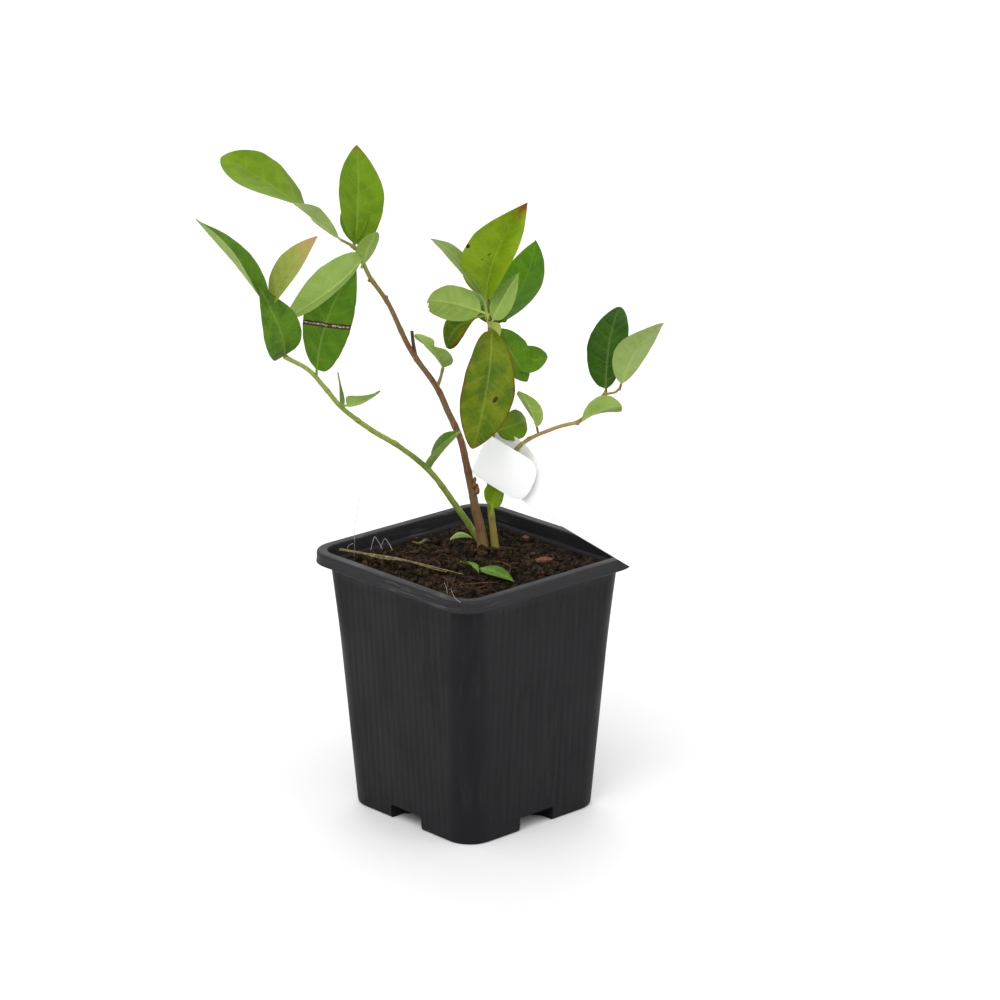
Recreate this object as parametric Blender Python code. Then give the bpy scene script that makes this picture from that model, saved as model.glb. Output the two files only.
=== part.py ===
"""A young blueberry bush in a square nursery pot, with its blank loop label.

The pot's sides run along X and Y, and the origin is the middle of the pot's flat underside.
The plant is measured in a frame of its own, (right, back, up) in millimetres from that
origin, which is turned about Z so that the plant's broad side faces between two corners.
Lengths in this file are in metres unless a name or a comment says millimetres.
"""
import math
from dataclasses import dataclass

import bmesh
import bpy
import numpy as np

MM = 0.001
GAP = 0.3 * MM

# Pot: a thin square pot that widens upwards to a turned-over lip
POT_HEIGHT = 100 * MM
BASE_SIDE = 68.6 * MM
BASE_ROUNDING = 8.7 * MM
RIM_SIDE = 90 * MM
RIM_ROUNDING = 12.3 * MM
WALL = 1.0 * MM
FLOOR = 1.2 * MM
LIP_WIDTH = 3.8 * MM
LIP_DROP = 4.5 * MM
STEP_DROP = 6.4 * MM
STEP_WIDTH = 1.0 * MM
STEP_RISE = 0.4 * MM
WALL_TOP_SIDE = 80.4 * MM
FOOT_EASE = 0.8 * MM
LIP_EASE = 0.6 * MM
LIP_THICKNESS = 1.2 * MM
CORNER_STEPS = 5

# Drain notches: one under the middle of each side, with a hole in its roof
NOTCH_WIDTH = 20 * MM
NOTCH_DEPTH = 16 * MM
NOTCH_HEIGHT = 5.5 * MM
DRAIN_RADIUS = 3.5 * MM
DRAIN_INSET = 9.6 * MM
DRAIN_SIDES = 12
CUT_REACH = 4 * MM

# Compost: just below the rim, with a flat-topped mound under the stems
SOIL_LEVEL = 94 * MM
MOUND_LEVEL = 96 * MM
MOUND_REACH = 16 * MM
MOUND_FLAT = 0.6
SOIL_EDGE_DROP = 2.5 * MM
SOIL_EDGE_GAP = 0.2 * MM
SOIL_RINGS = 6
SOIL_RIPPLE = 0.5 * MM
RIPPLE_ACROSS = 170
RIPPLE_BACK = 210

# Plant frame
PLANT_TURN = math.radians(-42.8)
STEM_SIDES = 8
STEM_STEP = 9.0
TAPER_POWER = 0.8
FLARE_FADE = 14
TWIG_FOOT_RADIUS = 0.9
TWIG_TIP_RADIUS = 0.7
PETIOLE = 0.6
PAD_HALF_THICKNESS = 0.9
PAD_STATIONS = 8
PAD_SIDES = 8
MOST_FOLD = 30
BLUNT_TIP = 0.995
OUTLINE_POWER = 0.85
LEAF_START = 1.7
JOINED_START = -0.8

# Label: a stiff strip on edge, looped round the right-hand stems and laid over the rim
LABEL_WIDTH = 17.5
LABEL_THICKNESS = 0.5
LABEL_ANCHOR = (12.0, 6.0, 130.4)
LABEL_HEADING = math.radians(-24)
LABEL_SLOPE = math.radians(24)
LABEL_REACH = 160
ARM_START = 16.0

POT_BLACK = (0.022, 0.022, 0.026)
SOIL_BROWN = (0.012, 0.009, 0.006)
BARK_BROWN = (0.16, 0.10, 0.05)
SHOOT_GREEN = (0.23, 0.29, 0.06)
LEAF_GREEN = (0.10, 0.22, 0.02)
LABEL_WHITE = (0.85, 0.85, 0.84)


@dataclass(frozen=True)
class Leaf:
    """One leaf in the plant frame, in millimetres and degrees.

    foot is where its stalk springs, heading and rise give the way from foot to tip (heading
    0 is right, 90 is back), roll turns the blade about that line from facing up, twist is
    how far it turns from foot to tip, arch and sweep bow its midrib towards its face and its
    right, fold lifts each half, and widest is the place of its greatest width.
    """
    foot: tuple
    heading: float
    rise: float
    length: float
    width: float
    roll: float = 0
    twist: float = 0
    arch: float = 2
    sweep: float = 0
    fold: float = 12
    widest: float = 0.46
    start: float = LEAF_START


def smooth_path(points, step):
    """Points about step apart on a smooth curve through the given points."""
    points = np.array(points, float)
    ends = 2 * points[[0, -1]] - points[[1, -2]]
    padded = np.vstack([ends[:1], points, ends[1:]])
    path = [points[0]]
    for p0, p1, p2, p3 in zip(padded, padded[1:], padded[2:], padded[3:]):
        count = max(1, round(np.linalg.norm(p2 - p1) / step))
        for t in np.arange(1, count + 1) / count:
            path.append(0.5 * (2 * p1 + (p2 - p0) * t + (2 * p0 - 5 * p1 + 4 * p2 - p3) * t ** 2
                               + (3 * p1 - p0 - 3 * p2 + p3) * t ** 3))
    return np.array(path)


def plant_to_part(points):
    """Plant-frame millimetres to metres in the pot's frame."""
    right, back, up = np.array(points, float).T * MM
    cos, sin = math.cos(PLANT_TURN), math.sin(PLANT_TURN)
    return np.stack([right * cos - back * sin, right * sin + back * cos, up], 1)


def material(name, colour, roughness):
    """A plain Principled material."""
    made = bpy.data.materials.new(name)
    made.use_nodes = True
    shader = made.node_tree.nodes["Principled BSDF"]
    shader.inputs["Base Color"].default_value = (*colour, 1)
    shader.inputs["Roughness"].default_value = roughness
    shader.inputs["Metallic"].default_value = 0
    return made


def add_object(name, bm, dressed):
    """Make an object of a bmesh, with its faces pointing out, and give it a material."""
    bmesh.ops.recalc_face_normals(bm, faces=bm.faces)
    mesh = bpy.data.meshes.new(name)
    bm.to_mesh(mesh)
    bm.free()
    mesh.shade_smooth()
    mesh.set_sharp_from_angle(angle=math.radians(40))
    mesh.materials.append(dressed)
    made = bpy.data.objects.new(name, mesh)
    bpy.context.collection.objects.link(made)
    return made


def loft(rings):
    """A closed body through rings of equal point counts, with a flat face on each end."""
    bm = bmesh.new()
    loops = [[bm.verts.new(point) for point in ring] for ring in rings]
    for low, high in zip(loops, loops[1:]):
        for i in range(len(low)):
            j = (i + 1) % len(low)
            bm.faces.new((low[i], low[j], high[j], high[i]))
    bm.faces.new(loops[0])
    bm.faces.new(loops[-1])
    return bm


def as_cutter(made):
    """Hide a helper that only cuts or adds to another object."""
    made.hide_render = True
    made.display_type = "WIRE"
    return made


def combine(target, helper, operation):
    """Join a helper to an object, or cut it away, with an exact Boolean."""
    modifier = target.modifiers.new(f"{operation.lower()}_{helper.name}", "BOOLEAN")
    modifier.operation = operation
    modifier.solver = "EXACT"
    modifier.object = as_cutter(helper)


def square_ring(side, rounding, z):
    """A square with round corners, centred on the Z axis."""
    ring = []
    reach = side / 2 - rounding
    for corner in range(4):
        middle = math.radians(45 + 90 * corner)
        centre = (math.copysign(reach, math.cos(middle)), math.copysign(reach, math.sin(middle)))
        for step in range(CORNER_STEPS + 1):
            angle = math.radians(90 * corner + 90 * step / CORNER_STEPS)
            ring.append((centre[0] + rounding * math.cos(angle),
                         centre[1] + rounding * math.sin(angle), z))
    return ring


def wall_side(z):
    """Side of the pot's tapering outer wall at a height."""
    return BASE_SIDE + (WALL_TOP_SIDE - BASE_SIDE) * z / (POT_HEIGHT - STEP_DROP)


def wall_rounding(z):
    """Corner radius of the pot's outer wall at a height."""
    return BASE_ROUNDING + (RIM_ROUNDING - BASE_ROUNDING) * z / POT_HEIGHT


def inner_ring(z, inset):
    """A ring inside the pot's outer wall, at a distance from it."""
    return square_ring(wall_side(z) - 2 * inset, wall_rounding(z) - inset, z)


def box(name, low, high, dressed):
    """A plain box between two corners."""
    sides = [[(x, y, z) for x, y in ((low[0], low[1]), (high[0], low[1]),
                                     (high[0], high[1]), (low[0], high[1]))]
             for z in (low[2], high[2])]
    return add_object(name, loft(sides), dressed)


def notch_box(name, turn, margin, height, reach_out, dressed):
    """The space of one drain notch, grown by a margin, turned to its side of the pot."""
    outer = BASE_SIDE / 2 + reach_out
    inner = BASE_SIDE / 2 - NOTCH_DEPTH - margin
    half = NOTCH_WIDTH / 2 + margin
    made = box(name, (inner, -half, -margin), (outer, half, height), dressed)
    made.rotation_euler.z = turn
    return made


def pot_profile():
    """The pot's rings, up the outside, over the lip and down the inside to the floor."""
    step_z = POT_HEIGHT - STEP_DROP
    skirt_z = POT_HEIGHT - LIP_DROP
    under_lip = POT_HEIGHT - LIP_THICKNESS
    step_side = WALL_TOP_SIDE + 2 * STEP_WIDTH
    step_rounding = wall_rounding(step_z)
    profile = [
        (BASE_SIDE - 2 * FOOT_EASE, BASE_ROUNDING - FOOT_EASE, 0),
        (wall_side(FOOT_EASE), BASE_ROUNDING, FOOT_EASE),
        (wall_side(step_z), step_rounding, step_z),
        (step_side, step_rounding, step_z + STEP_RISE),
        (step_side, step_rounding, under_lip),
        (RIM_SIDE - 2 * WALL, RIM_ROUNDING - WALL, under_lip),
        (RIM_SIDE - 2 * WALL, RIM_ROUNDING - WALL, skirt_z),
        (RIM_SIDE, RIM_ROUNDING, skirt_z),
        (RIM_SIDE, RIM_ROUNDING, POT_HEIGHT - LIP_EASE),
        (RIM_SIDE - 2 * LIP_EASE, RIM_ROUNDING - LIP_EASE, POT_HEIGHT),
        (RIM_SIDE - 2 * LIP_WIDTH, RIM_ROUNDING - LIP_WIDTH, POT_HEIGHT),
        (step_side - 2 * WALL, step_rounding - WALL, under_lip - STEP_RISE),
        (step_side - 2 * WALL, step_rounding - WALL, step_z + STEP_RISE + LIP_EASE),
    ]
    rings = [square_ring(side, rounding, z) for side, rounding, z in profile]
    return rings + [inner_ring(step_z - STEP_RISE, WALL), inner_ring(FLOOR, WALL)]


def build_pot(dressed):
    """The pot: lofted wall, floor and lip, then raised notch roofs, notches and drain holes."""
    pot = add_object("pot", loft(pot_profile()), dressed)
    roof = NOTCH_HEIGHT + WALL
    for side in range(4):
        turn = side * math.pi / 2
        raised = notch_box(f"notch_roof_{side}", turn, WALL, roof, -WALL / 2, dressed)
        raised.location.z = WALL
        raised.scale.z = (roof - WALL) / roof
        combine(pot, raised, "UNION")
        notch = notch_box(f"notch_cut_{side}", turn, 0, NOTCH_HEIGHT, CUT_REACH, dressed)
        combine(pot, notch, "DIFFERENCE")
        drain_x = BASE_SIDE / 2 - DRAIN_INSET
        hole = [[(drain_x + DRAIN_RADIUS * math.cos(a), DRAIN_RADIUS * math.sin(a), z)
                 for a in np.linspace(0, 2 * math.pi, DRAIN_SIDES, endpoint=False)]
                for z in (NOTCH_HEIGHT - WALL, NOTCH_HEIGHT + 2 * WALL)]
        drain = add_object(f"drain_cut_{side}", loft(hole), dressed)
        drain.rotation_euler.z = turn
        combine(pot, drain, "DIFFERENCE")
    return pot


def soil_height(x, y, foot):
    """Height of the compost: gentle ripples, and the flat-topped mound under the stems."""
    ripple = SOIL_RIPPLE * math.sin(RIPPLE_ACROSS * x + 1) * math.cos(RIPPLE_BACK * y)
    near = math.hypot(x - foot[0], y - foot[1]) / MOUND_REACH
    rise = max(0.0, min(1.0, (1 - near) / (1 - MOUND_FLAT)))
    return (SOIL_LEVEL + ripple) * (1 - rise) + MOUND_LEVEL * rise


def soil_ring(shrink, foot):
    """A ring of the compost's top, drawn in towards the stems' foot."""
    ring = []
    for x, y, _ in inner_ring(SOIL_LEVEL - SOIL_EDGE_DROP, WALL + GAP + SOIL_EDGE_GAP):
        x = x * shrink + foot[0] * (1 - shrink)
        y = y * shrink + foot[1] * (1 - shrink)
        ring.append((x, y, soil_height(x, y, foot)))
    return ring


def build_soil(dressed, foot):
    """The compost: fills the pot up to just below the rim, clear of wall and notch roofs."""
    heights = (FLOOR + GAP, POT_HEIGHT / 2, SOIL_LEVEL - SOIL_EDGE_DROP)
    rings = [inner_ring(z, WALL + GAP) for z in heights]
    rings += [soil_ring(1 - step / SOIL_RINGS, foot) for step in range(SOIL_RINGS)]
    soil = add_object("soil", loft(rings), dressed)
    for side in range(4):
        hollow = notch_box(f"soil_cut_{side}", side * math.pi / 2, WALL + GAP,
                           NOTCH_HEIGHT + WALL + GAP, CUT_REACH, dressed)
        combine(soil, hollow, "DIFFERENCE")
    return soil


def across(direction):
    """Two unit vectors square to a direction, the second as near to up as can be."""
    side = np.cross(direction, (0, 0, 1))
    if np.linalg.norm(side) < 1e-3:
        side = np.array((1.0, 0, 0))
    side /= np.linalg.norm(side)
    return side, np.cross(side, direction)


def tube_rings(path, radii, flat_foot):
    """Rings of a tapering round limb along a path, the first level if it stands on soil."""
    turns = np.linspace(0, 2 * math.pi, STEM_SIDES, endpoint=False)
    rings = []
    for point, way, radius in zip(path, np.gradient(path, axis=0), radii):
        side, up = across(way / np.linalg.norm(way))
        if flat_foot and not rings:
            up = np.cross(side, (0, 0, 1))
        rings.append([point + radius * (side * math.cos(a) + up * math.sin(a)) for a in turns])
    return rings


def build_limb(name, points, foot_radius, tip_radius, dressed, flat_foot=False, flare=0.0):
    """One tapering limb through hand-set points, in millimetres."""
    path = smooth_path(points, STEM_STEP)
    t = np.linspace(0, 1, len(path))
    radii = foot_radius + (tip_radius - foot_radius) * t ** TAPER_POWER
    radii += flare * np.exp(-t * FLARE_FADE)
    rings = [plant_to_part(ring) for ring in tube_rings(path, radii, flat_foot)]
    return add_object(name, loft(rings), dressed)


def leaf_rings(leaf):
    """Rings of a leaf as a thick pad: stalk, curved midrib, and the blade's own outline."""
    heading, rise = math.radians(leaf.heading), math.radians(leaf.rise)
    way = np.array((math.cos(rise) * math.cos(heading), math.cos(rise) * math.sin(heading),
                    math.sin(rise)))
    side, face = across(way)
    roll = math.radians(leaf.roll)
    face, side = (face * math.cos(roll) + side * math.sin(roll),
                  side * math.cos(roll) - face * math.sin(roll))
    first = leaf.start / leaf.length
    peak = math.log(0.5) / math.log(leaf.widest)
    rings = []
    for t in np.linspace(first, 1, PAD_STATIONS):
        bow = 4 * t * (1 - t)
        spread = math.sin(math.pi * min(max(t, 0), BLUNT_TIP) ** peak)
        point = (np.array(leaf.foot) + way * leaf.length * t
                 + bow * (face * leaf.arch + side * leaf.sweep))
        turn = math.radians(leaf.twist) * (t - 0.5)
        out = side * math.cos(turn) - face * math.sin(turn)
        up = face * math.cos(turn) + side * math.sin(turn)
        half = max(PETIOLE, leaf.width / 2 * spread ** OUTLINE_POWER)
        thick = PETIOLE + (PAD_HALF_THICKNESS - PETIOLE) * math.sin(math.pi * t)
        lift = math.tan(math.radians(min(leaf.fold, MOST_FOLD)))
        rings.append([point + out * half * math.cos(a)
                      + up * (thick * math.sin(a) + lift * half * abs(math.cos(a)))
                      for a in np.linspace(0, 2 * math.pi, PAD_SIDES, endpoint=False)])
    return rings


def build_mass(name, leaves, dressed, twig=None):
    """One closed foliage mass: the first leaf, with the others and their twig joined to it."""
    parts = [loft([plant_to_part(ring) for ring in leaf_rings(leaf)]) for leaf in leaves]
    mass = add_object(name, parts[0], dressed)
    for i, part in enumerate(parts[1:], 1):
        combine(mass, add_object(f"{name}_leaf_{i}", part, dressed), "UNION")
    if twig:
        limb = build_limb(f"{name}_twig", twig, TWIG_FOOT_RADIUS, TWIG_TIP_RADIUS, dressed)
        combine(mass, limb, "UNION")
    return mass


def label_frame():
    """The label's own directions: along the strip, back from its face, and across its width."""
    flat = np.array((math.cos(LABEL_HEADING), math.sin(LABEL_HEADING), 0))
    along = flat * math.cos(LABEL_SLOPE) - np.array((0, 0, math.sin(LABEL_SLOPE)))
    width = flat * math.sin(LABEL_SLOPE) + np.array((0, 0, math.cos(LABEL_SLOPE)))
    return along, np.cross(width, along), width


def build_strip(name, route, dressed):
    """A length of label: a flat band on edge that follows a route of (along, back) points."""
    along, back, width = label_frame()
    route = np.array(route, float)
    ways = np.gradient(route, axis=0)
    ways /= np.linalg.norm(ways, axis=1)[:, None]
    rings = []
    for (a, b), (ca, cb) in zip(route, ways):
        middle = np.array(LABEL_ANCHOR) + a * along + b * back
        thick = (-cb * along + ca * back) * LABEL_THICKNESS / 2
        wide = width * LABEL_WIDTH / 2
        rings.append(plant_to_part([middle - thick - wide, middle + thick - wide,
                                    middle + thick + wide, middle - thick + wide]))
    return add_object(name, loft(rings), dressed)


def build_label(dressed):
    """The label in three lengths: the long arm, the loop behind the stems, the end in front."""
    loop = [(14.9, 0.4), (11.5, 1.1), (8.0, 2.9), (5.2, 6.2), (1.6, 9.8), (-3.6, 11.2),
            (-9.0, 10.2), (-12.6, 6.8), (-13.4, 2.8), (-12.0, -0.2)]
    build_strip("label_arm", [(ARM_START, 0), (LABEL_REACH, 0)], dressed)
    build_strip("label_loop", loop, dressed)
    build_strip("label_end", [(-11.2, -0.9), (-8.2, -1.5), (12.5, -1.9)], dressed)


# Stems, from the compost to where they enter a mass
MAIN_STEM = [(3.4, 17, 96.3), (2.4, 17, 103), (0.6, 17, 111), (-2.3, 17.5, 126), (-4.9, 18, 137.5),
             (-9.6, 18.5, 148.5), (-14.2, 19, 158.5), (-23.5, 20, 172), (-31.4, 21, 189),
             (-38, 22, 198.7)]
LEFT_STEM = [(2.2, 22.6, 96.3), (-1.9, 20.5, 103.5), (-7.1, 17, 112.5), (-15.9, 11, 127),
             (-27.2, 4, 139), (-37.7, -2, 147.5), (-47.6, -9, 157.6), (-53.9, -12, 166.3),
             (-59.5, -15.5, 174), (-66.5, -20.2, 179.6)]
MIDDLE_STEM = [(7.9, 16.6, 96.3), (7.2, 16, 103), (6.4, 15.3, 111), (6, 13, 123.5), (6.5, 11, 135.7),
               (7.2, 9.8, 150), (6.8, 9.5, 165), (6.2, 9.5, 181.5)]
RIGHT_STEM = [(8.6, 12.9, 120), (10.5, 12.4, 125.2), (15.2, 11.8, 134.8), (19.1, 12.2, 138.5),
              (23, 15, 140), (31.9, 21, 141.8), (38.3, 24.2, 142.4)]

# Places that leaves spring from
TOP_TIP = (-48.9, 23, 213.1)
TOP_NODE = (-44, 23, 210.3)
FRONT_NODE = (-40.6, 22, 204.3)
LEFT_NODE = (-56.8, -14.6, 172.6)
LEFT_END = (-68, -21, 180.7)
LEFT_TIP = (-72.8, -24, 199.6)
CROWN_NODE = (6.1, 9.5, 183.4)
CROWN_TIP = (4.4, 10, 193.2)
RIGHT_TIP = (49.5, 27, 153.6)

# Twigs that carry the leaves inside a mass
TOP_TWIG = [(-38.5, 22.1, 199.6), (-41, 22.3, 205), (-44.1, 23, 210.3), (-48.9, 23, 213.1)]
LEFT_TWIG = [(-67, -20.5, 180.2), (-70.6, -22.3, 190), (-72.8, -24, 199.6)]
SIDE_TWIG = [(-11.8, 18.7, 159.6), (-11.4, 18.2, 165.4)]
CROWN_TWIG = [(5.9, 9.6, 183.2), (4.6, 9.9, 192.8)]
RIGHT_TWIG = [(39.6, 24.7, 142.9), (44.3, 26, 147.6), RIGHT_TIP]

# Foliage masses: the leaves of each, and the twig that holds them together
MASSES = {
    "foliage_top_upright": ([
        Leaf(TOP_NODE, 88, 60, 39.5, 20, roll=38, twist=-31, arch=0.5, fold=14, widest=0.44,
             start=JOINED_START),
        Leaf(FRONT_NODE, -43, 63, 14.5, 7.5, roll=-19, arch=0.5, fold=15, start=JOINED_START),
        Leaf(TOP_NODE, 95, 30, 30, 13, arch=3, start=JOINED_START)], TOP_TWIG),
    "foliage_top_long": ([
        Leaf(TOP_TIP, 172, 34, 53.5, 28, twist=-67, arch=1.5, fold=14, widest=0.56, start=1)], None),
    "foliage_top_front": ([
        Leaf(FRONT_NODE, -137, -23, 41, 22, roll=70, twist=49, arch=3, fold=20, widest=0.42)], None),
    "foliage_left_tip": ([
        Leaf(LEFT_END, -138, 68, 30, 15, roll=-96, arch=6, sweep=-1, start=JOINED_START),
        Leaf(LEFT_TIP, -5, 57, 32, 14, roll=33, arch=4.5, sweep=3.5, fold=14,
             start=JOINED_START)], LEFT_TWIG),
    "foliage_left_long": ([
        Leaf(LEFT_TIP, -166, 53, 43, 18.5, roll=-25, twist=36, sweep=2.5, arch=-0.5, fold=11,
             start=3.1)], None),
    "foliage_left_upright": ([
        Leaf(LEFT_NODE, 19, 68, 42, 21.5, roll=30, arch=3, fold=10, widest=0.47, start=1.1),
        Leaf(LEFT_NODE, 70, 50, 34, 15, roll=20, arch=3)], None),
    "foliage_left_small": ([
        Leaf((-47.6, -9, 158), -37, 27, 19, 10.5, roll=-17, twist=66, arch=-1.5, fold=26,
             widest=0.39)], None),
    "foliage_left_narrow": ([
        Leaf((-47.6, -9, 158), 104, 51, 14, 5, roll=-82, twist=-52, arch=-2.5, sweep=-6, fold=5,
             start=0.9)],
        None),
    "foliage_low_left": ([
        Leaf((-16.4, 9.6, 129), -47, 47, 25, 13, roll=35, arch=1, sweep=2.5, fold=30, start=1.2)],
        None),
    "foliage_main_side": ([
        Leaf((-11.4, 18, 165.4), -127, 46, 22.5, 11.5, twist=32, arch=-1.5, sweep=-4.5, fold=25,
             start=JOINED_START)], SIDE_TWIG),
    "foliage_crown_tall": ([
        Leaf(CROWN_TIP, 15, 66, 39.5, 24, roll=51, twist=37, arch=5, sweep=-1, fold=30, widest=0.41,
             start=JOINED_START),
        Leaf(CROWN_TIP, 143, 36, 33, 7, roll=-12, arch=8, sweep=-4, fold=13,
             start=JOINED_START)], CROWN_TWIG),
    "foliage_crown_left": ([
        Leaf(CROWN_NODE, -153, 24, 26, 10.5, roll=83, arch=4, fold=10, widest=0.44, start=2.4),
        Leaf(CROWN_NODE, 176, -24, 22, 9.5, roll=-55, twist=-29, arch=2, sweep=3, fold=11,
             start=2.4)], None),
    "foliage_crown_right": ([
        Leaf(CROWN_NODE, 52, 45, 39, 22, roll=-9, arch=-5, fold=11, widest=0.5)], None),
    "foliage_crown_back": ([
        Leaf(CROWN_NODE, 108, 12, 34, 16, roll=-5, arch=5, start=3.2)], None),
    "foliage_front": ([
        Leaf(CROWN_NODE, -114, -66, 45.5, 21, roll=-19, arch=3, sweep=-3, widest=0.5, start=2.6),
        Leaf(CROWN_NODE, -52, -70, 29, 15, arch=3, fold=15, start=2.6)], None),
    "foliage_front_side": ([
        Leaf((7, 9.5, 178), 24, -12, 24, 10.5, roll=59, arch=-1.5, sweep=4, widest=0.56)], None),
    "foliage_inner_right": ([
        Leaf((24, 17, 139.8), -129, 58, 22, 10.5, roll=-7, twist=31, arch=1.5, fold=11)], None),
    "foliage_inner_low": ([
        Leaf((7.8, 10.5, 143), 50, 12, 18, 9.5, roll=77, twist=-34, start=0.9)], None),
    "foliage_right_back": ([
        Leaf(RIGHT_TIP, 74, 55, 34, 17, roll=-18, twist=14, arch=3, start=JOINED_START)], RIGHT_TWIG),
    "foliage_right_front": ([
        Leaf((54.7, 26, 155.5), -43, 54, 35.5, 16.5, roll=-16, twist=16, arch=4, start=JOINED_START)],
        [(50.8, 26.4, 153.2), (53, 26, 153.8), (54.7, 26, 155.5)]),
    "foliage_right_low": ([
        Leaf((39.2, 24.5, 142.2), -36, 26, 22, 10.5, roll=-63, twist=-68, arch=3, fold=30, start=3.9)],
        None),
    "foliage_base": ([
        Leaf((7.4, 17.2, 110.2), 66, 52, 13, 8, roll=54, twist=-54, arch=1.5, fold=16, start=0.8)],
        None),
}


def main():
    """Clear the file's objects, then build pot, compost, stems, masses and label."""
    for old in list(bpy.data.objects):
        bpy.data.objects.remove(old, do_unlink=True)
    black = material("pot_plastic", POT_BLACK, 0.5)
    brown = material("compost", SOIL_BROWN, 0.95)
    bark = material("bark", BARK_BROWN, 0.7)
    shoot = material("green_shoot", SHOOT_GREEN, 0.55)
    green = material("leaf", LEAF_GREEN, 0.45)
    white = material("label_plastic", LABEL_WHITE, 0.4)
    build_pot(black)
    build_soil(brown, plant_to_part([MAIN_STEM[0]])[0])
    build_limb("stem_main", MAIN_STEM, 1.65, 0.85, bark, flat_foot=True, flare=0.5)
    build_limb("stem_left", LEFT_STEM, 1.2, 0.8, shoot, flat_foot=True)
    build_limb("stem_middle", MIDDLE_STEM, 1.25, 0.9, shoot, flat_foot=True, flare=0.2)
    build_limb("stem_right", RIGHT_STEM, 0.8, 0.65, shoot)
    for name, (leaves, twig) in MASSES.items():
        build_mass(name, leaves, green, twig)
    build_label(white)


main()
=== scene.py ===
"""Looks of a young blueberry bush in a square nursery pot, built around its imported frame.

The part's frame is metres, +Z up, with its origin in the middle of the pot's flat underside.
The plant and its label are described in a plant frame, (right, back, up) in millimetres from
that origin, which PLANT_TURN turns about Z into the part's frame.
"""

import logging
import math
from collections.abc import Callable, Sequence
from dataclasses import dataclass, field
from enum import Enum
from typing import Any

import bmesh
import bpy
import numpy as np
from mathutils import Matrix, Vector, noise


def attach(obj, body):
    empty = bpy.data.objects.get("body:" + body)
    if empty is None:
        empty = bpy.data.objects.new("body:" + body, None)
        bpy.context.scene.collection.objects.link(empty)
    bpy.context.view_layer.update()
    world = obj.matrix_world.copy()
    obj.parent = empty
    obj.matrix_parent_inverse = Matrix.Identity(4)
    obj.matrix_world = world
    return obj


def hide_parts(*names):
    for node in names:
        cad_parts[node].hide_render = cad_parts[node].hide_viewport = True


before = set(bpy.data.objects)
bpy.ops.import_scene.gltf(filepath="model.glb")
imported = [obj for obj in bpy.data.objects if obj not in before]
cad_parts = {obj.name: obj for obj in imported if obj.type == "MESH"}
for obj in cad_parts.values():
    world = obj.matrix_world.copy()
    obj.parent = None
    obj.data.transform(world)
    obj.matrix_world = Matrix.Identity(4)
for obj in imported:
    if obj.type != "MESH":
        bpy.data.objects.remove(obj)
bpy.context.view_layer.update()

LOG = logging.getLogger("blueberry_bush")
MM = 0.001
GAP = 0.3 * MM
PLANT_TURN = math.radians(-42.8)

Point = tuple[float, float, float]
Colour = tuple[float, float, float]
Array = np.ndarray


def screen_colour(red: int, green: int, blue: int) -> Colour:
    """Turn a colour as a screen shows it into scene-linear values.

    Args:
        red: Red from 0 to 255.
        green: Green from 0 to 255.
        blue: Blue from 0 to 255.

    Returns:
        The linear colour.
    """
    def straight(value: int) -> float:
        """Undo the screen's curve for one channel."""
        share = value / 255
        return share / 12.92 if share <= 0.04045 else ((share + 0.055) / 1.055) ** 2.4

    return straight(red), straight(green), straight(blue)


def plant_to_part(points: Array | Sequence[Point]) -> Array:
    """Take plant-frame points to the part's frame.

    Args:
        points: Points as (right, back, up) in millimetres, in an array of any shape (..., 3).

    Returns:
        The same points in metres in the part's frame.
    """
    points = np.asarray(points, float) * MM
    cos, sin = math.cos(PLANT_TURN), math.sin(PLANT_TURN)
    right, back, up = points[..., 0], points[..., 1], points[..., 2]
    return np.stack([right * cos - back * sin, right * sin + back * cos, up], -1)


def unit(vectors: Array) -> Array:
    """Scale vectors along the last axis to length 1."""
    return vectors / np.maximum(np.linalg.norm(vectors, axis=-1, keepdims=True), 1e-12)


def across(direction: Array) -> tuple[Array, Array]:
    """Find two unit vectors square to a direction.

    Args:
        direction: The direction, of any length.

    Returns:
        A level vector to its right, and the vector that is as near to up as can be.
    """
    way = unit(np.asarray(direction, float))
    side = np.cross(way, (0, 0, 1))
    if np.linalg.norm(side) < 1e-3:
        side = np.array((1.0, 0, 0))
    side = unit(side)
    return side, np.cross(side, way)


def smooth_path(points: Sequence[Point], step: float) -> Array:
    """Draw a smooth curve through points.

    Args:
        points: The points that the curve passes through.
        step: About how far apart the curve's own points are.

    Returns:
        The curve's points.
    """
    known = np.array(points, float)
    ends = 2 * known[[0, -1]] - known[[1, -2]]
    padded = np.vstack([ends[:1], known, ends[1:]])
    path = [known[0]]
    for p0, p1, p2, p3 in zip(padded, padded[1:], padded[2:], padded[3:]):
        count = max(1, round(np.linalg.norm(p2 - p1) / step))
        for t in np.arange(1, count + 1) / count:
            path.append(0.5 * (2 * p1 + (p2 - p0) * t + (2 * p0 - 5 * p1 + 4 * p2 - p3) * t ** 2
                               + (3 * p1 - p0 - 3 * p2 + p3) * t ** 3))
    return np.array(path)


def bump(value: Array | float, centre: float, spread: float) -> Array:
    """A soft bump of height 1 about a centre."""
    return np.exp(-((np.asarray(value, float) - centre) / spread) ** 2)


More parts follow.
